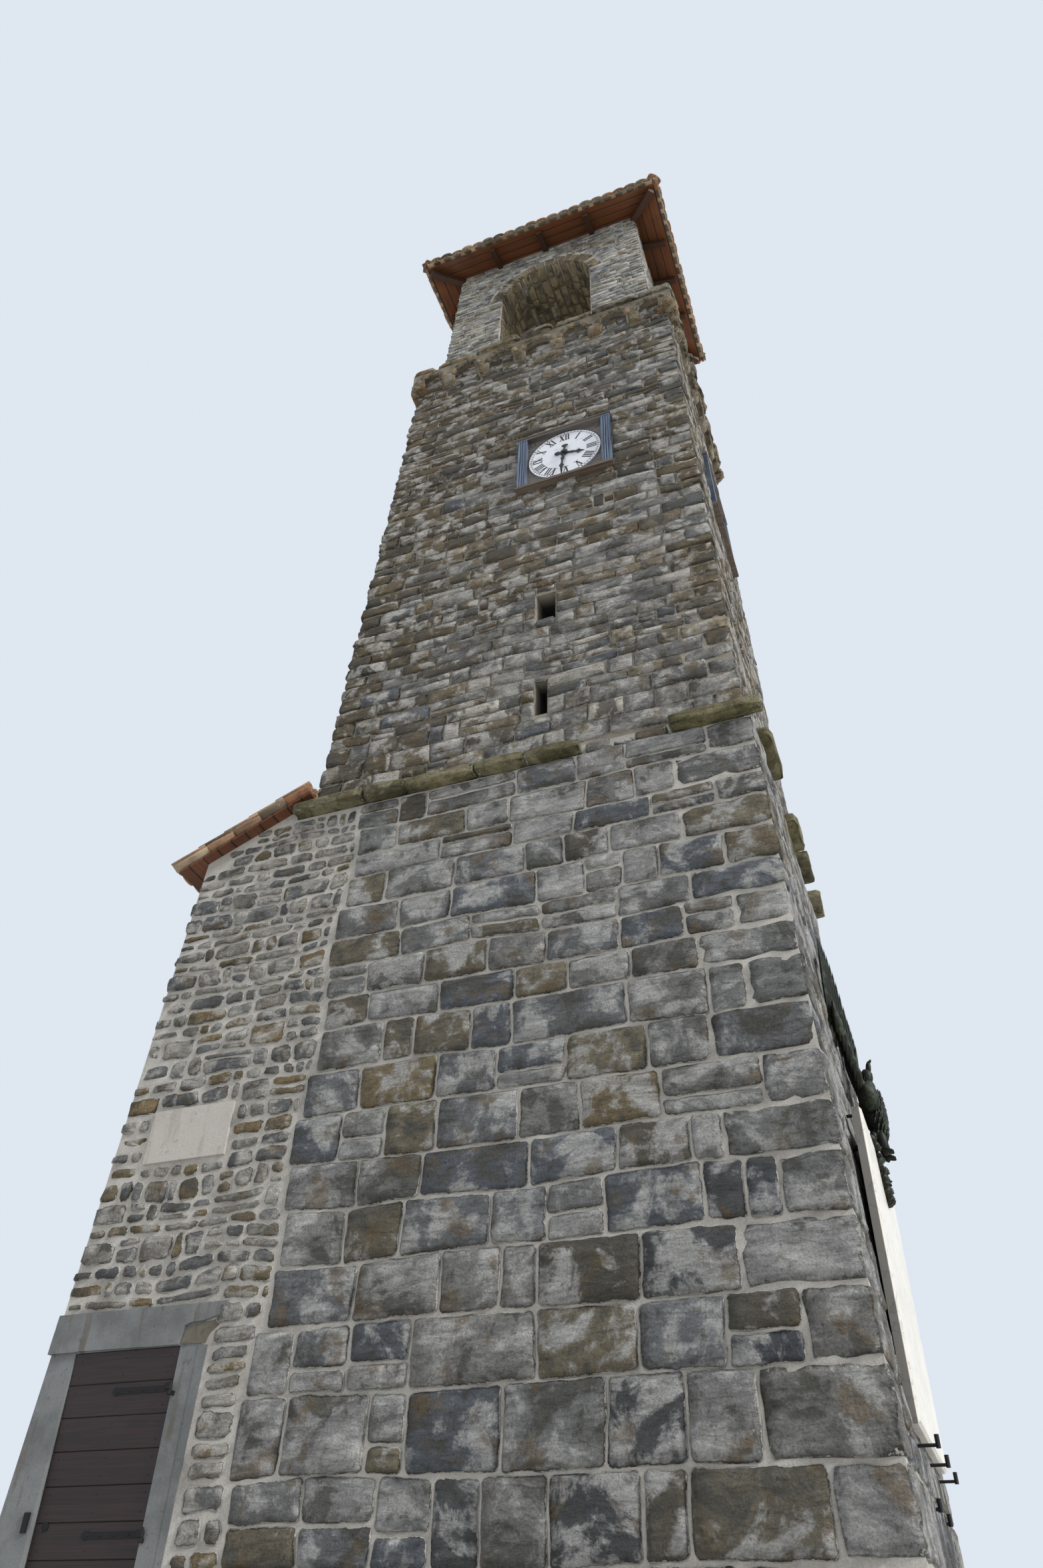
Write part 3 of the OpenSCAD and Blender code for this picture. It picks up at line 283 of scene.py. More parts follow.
def stone_faces(name, cells, place, grid, ragged, rounding, slot, material, seed, arris=0.02):
    """Stones that stand out of a wall. A cell is its four corners along and up the
    wall, a colour and how far it stands proud; place() puts a point on the wall.
    The faces swell gently up to the worn arris, which falls away to the joint."""
    bm, tint, unit = cell_mesh()
    for k, (quad, colour, proud) in enumerate(cells):
        add_cell(bm, tint, unit, [(s, z, proud) for s, z in quad], colour, k)
    for axis, cuts in enumerate(grid):
        edges = [
            e for e in bm.edges
            if abs(e.verts[0][unit][axis] - e.verts[1][unit][axis]) > 0.5
        ]
        bmesh.ops.subdivide_edges(bm, edges=edges, cuts=cuts, use_grid_fill=True)
    skirt = bmesh.ops.extrude_edge_only(bm, edges=[e for e in bm.edges if e.is_boundary])
    skirt = {v for v in skirt["geom"] if isinstance(v, bmesh.types.BMVert)}
    for v in bm.verts:
        proud = v.co.z
        a, b, k = v[unit]
        end, bed = a < 0.01 or a > 0.99, b < 0.01 or b > 0.99
        (s0, z0), (s1, z1), (s2, z2), (s3, z3) = cells[round(k)][0]
        worn_a = min(0.22, arris / math.hypot(s1 - s0, z1 - z0))
        worn_b = min(0.22, arris / math.hypot(s3 - s0, z3 - z0))
        if not end:
            first = 1 / (grid[0] + 1)
            a = worn_a + (1 - 2 * worn_a) * (a - first) / (1 - 2 * first)
        if not bed:
            first = 1 / (grid[1] + 1)
            b = worn_b + (1 - 2 * worn_b) * (b - first) / (1 - 2 * first)
        s = (s0 * (1 - a) + s1 * a) * (1 - b) + (s3 * (1 - a) + s2 * a) * b
        z = (z0 * (1 - a) + z1 * a) * (1 - b) + (z3 * (1 - a) + z2 * a) * b
        push = noise.noise_vector(Vector((s * 9.0, z * 9.0, k * 0.37 + seed)))
        swell = noise.noise(Vector((s * 3.1, z * 4.3, k * 1.7 + seed)))
        if end or bed:
            s += push.x * ragged
            z += push.y * ragged
        if end and bed:
            s += (1 - 2 * a) * rounding
            z += (1 - 2 * b) * rounding * 0.8
        if v in skirt:
            out = -0.02
        elif end or bed:
            out = 0.001 + 0.3 * proud * (0.5 + push.z)
            # Alpha 0 marks the rim: stone_finish smears mortar there and paints the shade of the
            # joint.
            v[tint] = (*v[tint][:3], 0.0)
        else:
            out = proud * (1.0 + 0.55 * swell + 0.35 * push.z)
        v.co = place(s, z, out)
        v.co.z = max(v.co.z, 0.0)
    bmesh.ops.recalc_face_normals(bm, faces=bm.faces[:])
    piece(name, bm, slot, material)


def lay_courses(
    rng, levels, ends, holes, lengths, joint, palette, proud, wave=0.018, split=0.0, tones=None,
):
    """Cells of a coursed wall between the given bed levels. ends(k, z) gives the run
    of a course, and holes are (s0, s1, z0, z1) where no stone is laid, or a function
    that gives them for a course. wave bends the beds, split is the share of places
    with two thin stones, and tones(s, z) gives the palette of a place."""
    cells = []

    def bed(s, z, low, high):
        hold = min(1.0, max(0.0, min(s - low, high - s) / 0.5))
        return z + wave * hold * noise.noise(Vector((s * 0.9, z * 1.7, levels[1] * 3)))

    for k in range(len(levels) - 1):
        z0, z1 = levels[k], levels[k + 1]
        low, high = ends(k, z0 + (z1 - z0) / 2)
        spans = [(low, high, z0, z1)]
        for h0, h1, g0, g1 in holes(z0, z1) if callable(holes) else holes:
            kept = []
            for a, b, c, d in spans:
                if h1 <= a or h0 >= b or g1 <= c or g0 >= d:
                    kept.append((a, b, c, d))
                    continue
                if h0 > a:
                    kept.append((a, h0, c, d))
                if h1 < b:
                    kept.append((h1, b, c, d))
                if d - g1 > 0.08:
                    kept.append((max(a, h0), min(b, h1), g1, d))
                if g0 - c > 0.08:
                    kept.append((max(a, h0), min(b, h1), c, g0))
            spans = kept
        for a, b, c, d in spans:
            if b - a < 0.07:
                continue
            s, lean = a, 0.0
            while s < b - 0.01:
                end = s + rng.uniform(*lengths) * rng.choice((0.7, 1.0, 1.0, 1.25))
                last = b - end < 0.55 * lengths[0]
                if last:
                    end = b
                turn = 0.0 if last else rng.uniform(-0.5, 0.5) * joint
                parts = [(c, d)]
                if d - c > 0.17 and rng.random() < split:
                    mid = c + (d - c) * rng.uniform(0.35, 0.65)
                    parts = [(c, mid), (mid, d)]
                for e, f in parts:
                    j = joint / 2 * rng.uniform(0.7, 1.35)
                    colour = pick(rng, tones(s, c) if tones else palette)
                    cells.append((
                        (
                            (s + lean + j, bed(s, e, low, high) + j),
                            (end - turn - j, bed(end, e, low, high) + j),
                            (end + turn - j, bed(end, f, low, high) - j),
                            (s - lean + j, bed(s, f, low, high) - j),
                        ),
                        colour,
                        proud * rng.uniform(0.55, 1.45),
                    ))
                s, lean = end, -turn
    return cells


def make_levels(rng, low, high, first, last, spread):
    """Bed levels from low to high, with courses that change from first to last."""
    levels = [low]
    while levels[-1] < high - 0.5 * last:
        tall = first + (last - first) * (levels[-1] - low) / (high - low)
        levels.append(levels[-1] + tall * rng.uniform(1 - spread, 1 + spread))
    stretch = (high - low) / (levels[-1] - low)
    return [low + (z - low) * stretch for z in levels]


WORN = (0, 0, 1, 1.5)


def rough_blocks(name, blocks, cuts, rough, rounding, slot, material, seed, replaces=()):
    """Hewn blocks: a block is its low and high corner, a colour and a function that
    puts a point in place. Faces are uneven, and WORN says how much is rubbed off on
    a face, an arris (on two sides at once) and a corner (on three)."""
    bm = bmesh.new()
    tint = bm.verts.layers.float_color.new("stone")
    owner = bm.verts.layers.float_vector.new("unit")
    for k, block in enumerate(blocks):
        for v in bmesh.ops.create_cube(bm, size=1.0)["verts"]:
            v[tint] = (*block[2], 1.0)
            v[owner] = (k, 0, 0)
    bmesh.ops.subdivide_edges(bm, edges=bm.edges[:], cuts=cuts, use_grid_fill=True)
    for v in bm.verts:
        low, high, colour, place = blocks[round(v[owner].x)]
        at = [low[i] + (high[i] - low[i]) * (v.co[i] + 0.5) for i in range(3)]
        side = [0 if abs(v.co[i]) < 0.49 else math.copysign(1, v.co[i]) for i in range(3)]
        edges = sum(1 for n in side if n)
        push = noise.noise_vector(Vector(at) * 5.0 + Vector((v[owner].x * 1.3, seed, 0)))
        fine = noise.noise_vector(Vector(at) * 13.0 + Vector((seed, v[owner].x, 0)))
        for i in range(3):
            wear = rounding * WORN[edges] * (0.6 + 0.8 * abs(push[(i + 1) % 3]))
            wear = min(wear, 0.3 * (high[i] - low[i]))
            at[i] += side[i] * (rough * (push[i] + 0.5 * fine[i]) - wear)
        # Alpha 0.25 on arrises and corners: stone_finish smears mortar there and paints joint
        # shade.
        v[tint] = (*colour, 0.25 if edges > 1 else 1.0)
        v.co = place(*at) if place else Vector(at)
        v.co.z = max(v.co.z, 0.0)
    bmesh.ops.recalc_face_normals(bm, faces=bm.faces[:])
    ob = piece(name, bm, slot, material)
    if replaces:
        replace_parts(ob, *replaces)


def stage_face(side, x0, x1, y0, y1, z0, z1):
    """Puts a point on one leaning face of a stage: s along it, z up, out of it."""
    def place(s, z, out):
        t = (z - z0) / (z1 - z0)
        x, y = x0 + (x1 - x0) * t + out, y0 + (y1 - y0) * t + out
        return Vector({
            "front": (s, -y, z), "back": (-s, y, z), "right": (x, s, z), "left": (-x, -s, z),
        }[side])
    return place


def lower_face(side):
    return stage_face(side, WALL_X, WALL_X - BATTER, WALL_Y, WALL_Y - BATTER, 0, LOWER_TOP)


def corner_blocks(rng, levels, corners, x0, x1, y0, y1, long, short, joint, palette, proud):
    """Quoins, laid long and short in turn where two faces meet."""
    blocks = []
    for number, (sx, sy) in corners:
        for k in range(len(levels) - 1):
            def place(u, v, z, sx=sx, sy=sy):
                t = (z - levels[0]) / (levels[-1] - levels[0])
                return Vector((sx * (x0 + (x1 - x0) * t - u), sy * (y0 + (y1 - y0) * t - v), z))
            lx, ly = (long, short) if (k + number) % 2 else (short, long)
            out = proud * rng.uniform(0.7, 1.5)
            j = joint / 2
            blocks.append((
                (-out, -out, levels[k] + j),
                (lx - j, ly - j, levels[k + 1] - j),
                pick(rng, palette),
                place,
            ))
    return blocks


ASHLAR = (
    ("767877", 5), ("6a6d70", 4), ("82827f", 5), ("8f908f", 3),
    ("5d636a", 3), ("706958", 3), ("75694f", 1), ("9a9a98", 2),
)
DARK = (("505255", 3), ("575349", 2), ("615c50", 2), ("474c54", 2))
ashlar_stone = stone_finish(
    "weathered_squared_limestone", "4e4e48", "6b5a3f", "b3b4b2", 420, 22, 0.025, "bdbab3",
)
lime_mortar = mortar_finish("pale_lime_mortar", "c3c0b9", "98958e", 14)
finish(lime_mortar, "lower_front_wall", "lower_back_wall", "lower_side_walls")
noise.seed_set(11)
rng = random.Random(11)
LOWER = make_levels(rng, 0.0, LOWER_TOP, 0.52, 0.30, 0.16)
LONG, SHORT = 0.82, 0.46


def lower_half(z):
    return WALL_X - FOOT_LEAN * z, WALL_Y - FOOT_LEAN * z


def annex_meets(z):
    """Where the rubble of the annex stops against the squared blocks."""
    return -2.16 + 0.034 * z + 0.05 * math.sin(z * 3.1)


def front_run(k, z):
    return annex_meets(z), lower_half(z)[0] - (LONG, SHORT)[k % 2]


def side_run(k, z):
    half = lower_half(z)[1]
    return -half + (SHORT, LONG)[k % 2], half - (SHORT, LONG)[k % 2]


def back_run(k, z):
    return -lower_half(z)[0] + (LONG, SHORT)[k % 2], -annex_meets(z)


def lower_tones(s, z):
    """Darker blocks are common low down at the right of the front."""
    return DARK if rng.random() < (0.5 if s > 0.2 and z < 2.7 else 0.05) else ASHLAR


for side, run in (("front", front_run), ("right", side_run), ("back", back_run)):
    cells = lay_courses(
        rng, LOWER, run, (), (0.40, 0.84), 0.020, ASHLAR, 0.026, 0.05, 0.16, lower_tones,
    )
    stone_faces(
        "ashlar_" + side, cells, lower_face(side), (9, 6), 0.014, 0.012,
        "ashlar_stone", ashlar_stone, 3.0, 0.03,
    )
quoins = corner_blocks(
    rng, LOWER, ((1, (1, -1)), (1, (1, 1))), WALL_X, WALL_X - BATTER, WALL_Y, WALL_Y - BATTER,
    LONG, SHORT, 0.02, ASHLAR, 0.022,
)
rough_blocks("ashlar_quoins", quoins, 6, 0.024, 0.018, "ashlar_stone", ashlar_stone, 5.0)

# Annex: the same face carried on to the left in small field stones, each bedded
# in a wide band of the pale mortar, which is struck off nearly flush with them.
ANNEX_X, ANNEX_LEAN = 4.19, 0.41 / LOWER_TOP
ANNEX_SLOPE = math.radians(25)
ANNEX_HEAD_X, ANNEX_SOFFIT = -2.53, 7.5787
ANNEX_LONG, ANNEX_SHORT, LEFT_TOP = 0.34, 0.18, 6.92
DOOR_HOLE, PLAQUE_HOLE = (-4.3, -2.52, -0.1, 2.30), (-3.68, -2.74, 3.50, 4.06)
FIELD = (
    ("6f7070", 5), ("5f6263", 4), ("7c7a73", 4), ("6f644e", 3),
    ("766647", 2), ("8c8a84", 3), ("505356", 1),
)
field_stone = stone_finish("split_field_stone", "4a4943", "6a583a", "adaba5", 300, 16, 0.09)
finish(lime_mortar, "annex_front_wall", "annex_back_wall", "annex_left_wall")
ANNEX = make_levels(rng, 0.0, 7.3, 0.20, 0.155, 0.42)


def annex_left(z):
    return -ANNEX_X + ANNEX_LEAN * z


def under_verge(z):
    """Where the roof boards come down to the height z."""
    return (z + 0.06 - ANNEX_SOFFIT) / math.tan(ANNEX_SLOPE) + ANNEX_HEAD_X


def annex_run(k, z):
    left = annex_left(z) + (ANNEX_LONG, ANNEX_SHORT)[k % 2]
    return max(left, under_verge(z)), annex_meets(z) - 0.03


def annex_back_run(k, z):
    left, right = annex_run(k, z)
    return -right, -left


def left_run(k, z):
    half = lower_half(z)[1] - (ANNEX_SHORT, ANNEX_LONG)[k % 2]
    return -half, half


def left_place(s, z, out):
    return Vector((annex_left(z) - out, -s, z))


LEFT = [z for z in ANNEX if z <= LEFT_TOP] + [LEFT_TOP]
for side, levels, run, holes, place, seed in (
    ("front", ANNEX, annex_run, (DOOR_HOLE, PLAQUE_HOLE), lower_face("front"), 8.0),
    ("back", ANNEX, annex_back_run, (), lower_face("back"), 9.0),
    ("left", LEFT, left_run, (), left_place, 10.0),
):
    cells = lay_courses(rng, levels, run, holes, (0.12, 0.46), 0.028, FIELD, 0.020, 0.10, 0.30)
    stone_faces(
        "field_stones_" + side, cells, place, (5, 4), 0.026, 0.018,
        "annex_stone", field_stone, seed, 0.034,
    )
blocks = []
for sy, bottom in ((-1, 2.29), (1, 0)):
    for k in range(len(LEFT) - 1):
        def place(u, v, z, sy=sy):
            return Vector((annex_left(z) + u, sy * (lower_half(z)[1] - v), z))
        if LEFT[k + 1] < bottom + 0.01 and bottom:
            continue
        lx, ly = ((0.33, 0.17), (0.17, 0.33))[k % 2]
        out = rng.uniform(0.005, 0.03)
        low = max(LEFT[k], bottom)
        if LEFT[k + 1] - low < 0.09:
            continue
        blocks.append((
            (-out, -out, low + 0.02), (lx, ly, LEFT[k + 1] - 0.015), pick(rng, FIELD), place,
        ))
rough_blocks("field_stone_corners", blocks, 3, 0.02, 0.016, "annex_stone", field_stone, 6.0)

# String course: thick rough slabs laid flat over the lower stage, mossy on top
# and broken away for a stretch in front; on the right only single lumps are left.
MOSSY = (("5f5a3e", 3), ("6b6647", 3), ("544f3a", 2), ("77705a", 1))
GAP_FROM, GAP_TO = 0.62, 1.56
MID_X, MID_Y = 2.30, 1.92
mossy_slab = stone_finish("mossy_sandstone_slab", "45422c", "5a5434", "8a8468", 300, 18)
blocks = []
for side in ("front", "back"):
    low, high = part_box("string_" + side)
    x = low.x
    while x < high.x - 0.05:
        step = rng.uniform(0.4, 0.9)
        end = high.x if high.x - x - step < 0.3 else x + step
        if side == "front":
            if x < GAP_FROM < end:
                end = GAP_FROM
            if GAP_FROM - 0.02 < x < GAP_TO - 0.01:
                x = GAP_TO
                continue
        out = rng.uniform(-0.01, 0.015)
        y0, y1 = (low.y - out, high.y) if side == "front" else (low.y, high.y + out)
        blocks.append((
            (x + 0.006, y0, low.z + 0.004),
            (end - 0.006, y1, high.z + rng.uniform(-0.02, 0.0)),
            pick(rng, MOSSY), None,
        ))
        x = end
for y, run in ((-1.59, 0.76), (-0.055, 0.615), (0.70, 0.57), (1.57, 0.35)):
    blocks.append(((MID_X, y, 7.344), (MID_X + 0.2, y + run, 7.49), pick(rng, MOSSY), None))
rough_blocks(
    "string_slabs", blocks, 5, 0.024, 0.02, "mossy_stone", mossy_slab, 12.0,
    ("string_front", "string_right", "string_back"),
)

# Middle stage: coursed thin slabs of split stone, greyer in the middle and brown
# with iron towards the upper left, with thin pale joints and a worn outline.
MID_Z, HEAD_Z = 7.50, 16.55
HEAD_X, HEAD_Y, LEFT_MORE = 2.05, 1.59, 0.23
MID_LEAN, MID_SIDE_LEAN = 0.33 / 9.05, 0.25 / 9.05
GREY = (
    ("82827f", 5), ("777775", 4), ("8f8e89", 4), ("6a6b6b", 3),
    ("8a806d", 2), ("776c57", 2), ("b3afa5", 1), ("5c6167", 1),
)
BROWN = (
    ("5f543f", 4), ("675a43", 3), ("534b3c", 3), ("71644b", 2),
    ("4c4841", 2), ("625c50", 3), ("93876f", 1),
)
slab_stone = stone_finish("split_slab_stone", "504f4a", "6e5e42", "bdbbb6", 330, 22, 0.01, "b8b5ad")
warm_mortar = mortar_finish("weathered_lime_mortar", "a09a8c", "787266", 14)
finish(warm_mortar, "mid_back_wall", "mid_side_walls")
# Painted shade: behind its face the front wall's mortar is darkened to a tenth, in the slit,
# window, putlog holes and clock opening.
mid_front_mortar_painted_shade = mortar_finish(
    "lime_mortar_painted_shade_within", "a09a8c", "787266", 14, (MID_Y + MID_LEAN * MID_Z, MID_LEAN, 0.1),
)
finish(mid_front_mortar_painted_shade, "mid_front_wall")
rng = random.Random(23)
MID = make_levels(rng, MID_Z, HEAD_Z, 0.225, 0.16, 0.26)
MID_LONG, MID_SHORT = 0.52, 0.28


def mid_half(z):
    """Half the width and depth at a height, and what the left side has more."""
    t = (z - MID_Z) / (HEAD_Z - MID_Z)
    return MID_X + (HEAD_X - MID_X) * t, MID_Y + (HEAD_Y - MID_Y) * t, LEFT_MORE * (1 - t)


def mid_front(k, z):
    (half, _, more), quoin = mid_half(z), (MID_SHORT, MID_LONG)[k % 2]
    return -half - more + quoin, half - quoin


def mid_back(k, z):
    left, right = mid_front(k, z)
    return -right, -left


def mid_deep(k, z):
    half = mid_half(z)[1] - (MID_LONG, MID_SHORT)[k % 2]
    return -half, half


def mid_tones(s, z):
    """Brown slabs grow more common upwards and to the left."""
    return BROWN if rng.random() < 0.08 + 0.085 * (z - MID_Z) - 0.22 * s else GREY


CLOCK_X, CLOCK_Z, CLOCK_HALF, CLOCK_RISE = 0.43, 13.02, 0.675, 0.61
SLIT, WINDOW = (0.065, 0.22, 8.10, 8.64), (0.058, 0.307, 9.66, 10.14)
PUTLOGS = ((-0.70, -0.58, 10.16, 10.28), (0.96, 1.08, 11.66, 11.78))
front_holes = (
    SLIT, WINDOW, *PUTLOGS,
    (CLOCK_X - CLOCK_HALF, CLOCK_X + CLOCK_HALF, CLOCK_Z - CLOCK_RISE, CLOCK_Z + CLOCK_RISE),
)
side_holes = ((-CLOCK_HALF, CLOCK_HALF, CLOCK_Z - CLOCK_RISE, CLOCK_Z + CLOCK_RISE),)
for side, run, holes in (
    ("front", mid_front, front_holes), ("back", mid_back, ()),
    ("right", mid_deep, side_holes), ("left", mid_deep, ()),
):
    more = LEFT_MORE if side == "left" else 0
    place = stage_face(side, MID_X + more, HEAD_X, MID_Y, HEAD_Y, MID_Z, HEAD_Z)
    cells = lay_courses(
        rng, MID, run, holes, (0.22, 0.74), 0.009, GREY, 0.026, 0.09, 0.20, mid_tones,
    )
    stone_faces(
        "slab_stones_" + side, cells, place, (7, 3), 0.014, 0.008,
        "coursed_stone", slab_stone, 15.0, 0.018,
    )
CORNERS = ((0, (1, -1)), (0, (1, 1)), (0, (-1, -1)), (0, (-1, 1)))
blocks = []
for pair, foot_x, palette, proud in (
    (CORNERS[:2], MID_X, GREY + BROWN, 0.02), (CORNERS[2:], MID_X + LEFT_MORE, BROWN, 0.024),
):
    blocks += corner_blocks(
        rng, MID, pair, foot_x, HEAD_X, MID_Y, HEAD_Y, MID_LONG, MID_SHORT, 0.012, palette, proud,
    )
rough_blocks("slab_stone_corners", blocks, 4, 0.026, 0.010, "coursed_stone", slab_stone, 17.0)

blocks = [
    ((x, -1.975, 7.352), (x + run, -1.90, 7.352 + tall), pick(rng, GREY), None)
    for x, run, tall in ((0.655, 0.27, 0.12), (0.96, 0.20, 0.07), (1.19, 0.33, 0.125))
]
rough_blocks("string_gap_stones", blocks, 4, 0.016, 0.012, "coursed_stone", slab_stone, 18.0)

# Cornice: rounded corbel stones with small rough arches between them carry a
# course of thick buff slabs, which are eroded most at the left end.
ARCH_X, ARCH_Y = 2.165, 1.705
CORBEL_W, CROWN = 0.19, 0.11
BUFF = (
    ("8d7e60", 3), ("7a705a", 3), ("8a7150", 2), ("6c675c", 3), ("8a8474", 2), ("a08a62", 1),
)
corbel_stone = stone_finish(
    "eroded_buff_sandstone", "565142", "75603e", "a19c8c", 240, 26, 0.06, "a39c8a",
)
buff_mortar = mortar_finish("buff_bedding_mortar", "8c8372", "595347", 18)
finish(buff_mortar, "cornice_arches")
rng = random.Random(31)


def ring_quad(centre, spring, t0, t1, r0, r1):
    """Corners of an arch stone between two angles and two radii."""
    return [
        (centre - r * math.cos(t), spring + r * math.sin(t))
        for t, r in ((t0, r0), (t1, r0), (t1, r1), (t0, r1))
    ]


blocks = []
for side, half, bays in (
    ("front", ARCH_X, 7), ("back", ARCH_X, 7), ("right", ARCH_Y, 6), ("left", ARCH_Y, 6),
):
    bay = 2 * half / bays
    radius = (bay - CORBEL_W) / 2
    spring = HEAD_Z - CROWN - radius
    face = stage_face(side, ARCH_X, ARCH_X, ARCH_Y, ARCH_Y, 0, 1)
    rings = []
    for i in range(bays):
        centre = -half + (i + 0.5) * bay
        count = rng.choice((4, 5, 6))
        for j in range(count):
            t0, t1 = math.pi * j / count + 0.05, math.pi * (j + 1) / count - 0.05
            r0, r1 = radius - 0.012, min(radius + rng.uniform(0.075, 0.105), radius + CROWN - 0.01)
            quad = ring_quad(centre, spring, t0, t1, r0, r1)
            rings.append((quad, pick(rng, BUFF), rng.uniform(0.012, 0.035)))
    stone_faces(
        "arch_stones_" + side, rings, face, (3, 2), 0.012, 0.012,
        "corbel_stone", corbel_stone, 19.0,
    )
    for i in range(bays + 1):
        at = min(max(-half + i * bay, -half + 0.06), half - 0.06)
        drop = rng.uniform(0.17, 0.24)

        def place(u, v, z, face=face, spring=spring):
            """Rounds the corbel back to the wall towards its foot."""
            deep = max(0.0, (spring - 0.03 - z) / 0.22)
            return face(u, z, v - 0.15 * deep * deep)
        width = CORBEL_W / 2 + rng.uniform(-0.005, 0.02)
        blocks.append((
            (at - width, -0.2, spring - drop), (at + width, 0.012, spring + 0.05),
            pick(rng, BUFF), place,
        ))
rough_blocks("corbels", blocks, 5, 0.042, 0.035, "corbel_stone", corbel_stone, 21.0)

SLAB_DEEP = 0.5
low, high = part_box("cornice_slabs")
blocks = []
for side in ("front", "back", "right", "left"):
    half = high.x if side in ("front", "back") else high.y - SLAB_DEEP
    face = stage_face(side, high.x, high.x, high.y, high.y, 0, 1)
    s = -half
    while s < half - 0.05:
        step = rng.uniform(0.35, 0.8)
        end = half if half - s - step < 0.3 else s + step

        def place(u, v, z, face=face):
            return face(u, z, v)
        edge = rng.uniform(-0.045, 0.02)
        if side == "front" and s < -1.7:
            edge -= 0.05
        blocks.append((
            (s + 0.011, -SLAB_DEEP, low.z + 0.003),
            (end - 0.011, edge, high.z + rng.uniform(-0.03, 0.004)),
            pick(rng, BUFF), place,
        ))
        s = end
rough_blocks(
    "cornice_slab_course", blocks, 6, 0.034, 0.026, "corbel_stone", corbel_stone, 24.0,
    ("cornice_slabs",),
)

# Belfry: small thin light-grey rubble, with a round arch of rough brown stones in
# front and behind and a barrel vault between them that the bell would hang in.
BEL_Z, TOP_Z = 16.70, 20.33
BEL_X, BEL_Y, TOP_X, TOP_Y = 1.80, 1.40, 1.66, 1.26
BEL_LEAN = 0.135 / 3.5
VAULT_R, RING = 0.815, 0.24
SPRING_Z = BEL_Z + 2.97 - VAULT_R
BEL_LONG, BEL_SHORT = 0.38, 0.22
PALE = (
    ("9a9b97", 4), ("a5a39a", 4), ("8a8d8e", 3), ("b1ad9f", 3),
    ("7a7e80", 2), ("93886f", 2), ("bfb8a7", 1),
)
VAULT = (("8b7d62", 4), ("7a705c", 3), ("978a70", 3), ("6b675e", 2), ("9c9585", 1))
pale_rubble = stone_finish(
    "light_grey_rubble", "606264", "7f725c", "c6c6c3", 260, 18, 0.05, "cbc9c3",
)
vault_stone = stone_finish(
    "brown_vault_rubble", "4a4233", "6c5531", "9f9270", 280, 18, 0.04, "8b7d60",
)
pale_mortar = mortar_finish("belfry_lime_mortar", "cac8c2", "9c9a94", 12)
vault_mortar = mortar_finish("sooted_lime_mortar", "736950", "50493a", 14)
finish(pale_mortar, "belfry_back_wall", "belfry_side_walls")
# Painted shade: behind its face the belfry front wall's mortar is darkened to 0.42, inside the arch
# opening.
belfry_front_mortar_painted_shade = mortar_finish(
    "belfry_mortar_painted_shade_within", "cac8c2", "9c9a94", 12, (BEL_Y + BEL_LEAN * BEL_Z, BEL_LEAN, 0.42),
)
finish(belfry_front_mortar_painted_shade, "belfry_front_wall")
finish(vault_mortar, "belfry_vault", "belfry_floor")
rng = random.Random(41)
BELFRY = make_levels(rng, BEL_Z, TOP_Z, 0.105, 0.09, 0.3)


def belfry_half(z):
    t = (z - BEL_Z) / (TOP_Z - BEL_Z)
    return BEL_X + (TOP_X - BEL_X) * t, BEL_Y + (TOP_Y - BEL_Y) * t


def belfry_wide(k, z):
    half = belfry_half(z)[0] - (BEL_SHORT, BEL_LONG)[k % 2]
    return -half, half


def belfry_deep(k, z):
    half = belfry_half(z)[1] - (BEL_LONG, BEL_SHORT)[k % 2]
    return -half, half


def arch_hole(z0, z1):
    """The opening and the ring of arch stones round it, for one course."""
    rise = z0 + 0.35 * (z1 - z0) - SPRING_Z
    reach = VAULT_R + RING
    if rise < 0:
        return ((-VAULT_R, VAULT_R, BEL_Z + 0.4, SPRING_Z + 0.001),)
    if rise > reach:
        return ()
    half = math.sqrt(reach * reach - rise * rise)
    return ((-half, half, z0 - 0.1, z1 + 0.1),)


for side, run, holes in (
    ("front", belfry_wide, arch_hole), ("back", belfry_wide, arch_hole),
    ("right", belfry_deep, ()), ("left", belfry_deep, ()),
):
    place = stage_face(side, BEL_X, TOP_X, BEL_Y, TOP_Y, BEL_Z, TOP_Z)
    cells = lay_courses(rng, BELFRY, run, holes, (0.16, 0.52), 0.013, PALE, 0.02, 0.03, 0.0)
    stone_faces(
        "belfry_stones_" + side, cells, place, (3, 2), 0.008, 0.006,
        "rubble_stone", pale_rubble, 26.0, 0.012,
    )
    if holes:
        ring = []
        t = 0.0
        while t < math.pi - 0.03:
            turn = rng.uniform(0.11, 0.21)
            t1 = math.pi if math.pi - t - turn < 0.06 else t + turn
            r0, r1 = VAULT_R - 0.004, VAULT_R + RING * rng.uniform(0.72, 1.0)
            a0, a1 = t + 0.008, t1 - 0.008
            quad = [
                (-r * math.cos(a), SPRING_Z + r * math.sin(a))
                for a, r in ((a0, r0), (a0, r1), (a1, r1), (a1, r0))
            ]
            palette = VAULT if rng.random() < 0.7 else PALE
            ring.append((quad, pick(rng, palette), rng.uniform(0.004, 0.016)))
            t = t1
        stone_faces(
            "voussoirs_" + side, ring, place, (2, 4), 0.012, 0.01,
            "rubble_stone", vault_stone, 28.0, 0.014,
        )
blocks = corner_blocks(
    rng, BELFRY, CORNERS, BEL_X, TOP_X, BEL_Y, TOP_Y, BEL_LONG, BEL_SHORT, 0.015, PALE, 0.016,
)
rough_blocks("belfry_corners", blocks, 3, 0.014, 0.010, "rubble_stone", pale_rubble, 29.0)


def vault_place(s, z, out):
    """s runs along the vault, z round its arc from one springing to the other."""
    turn, radius = z / VAULT_R, VAULT_R - out
    return Vector((-radius * math.cos(turn), s, SPRING_Z + radius * math.sin(turn)))


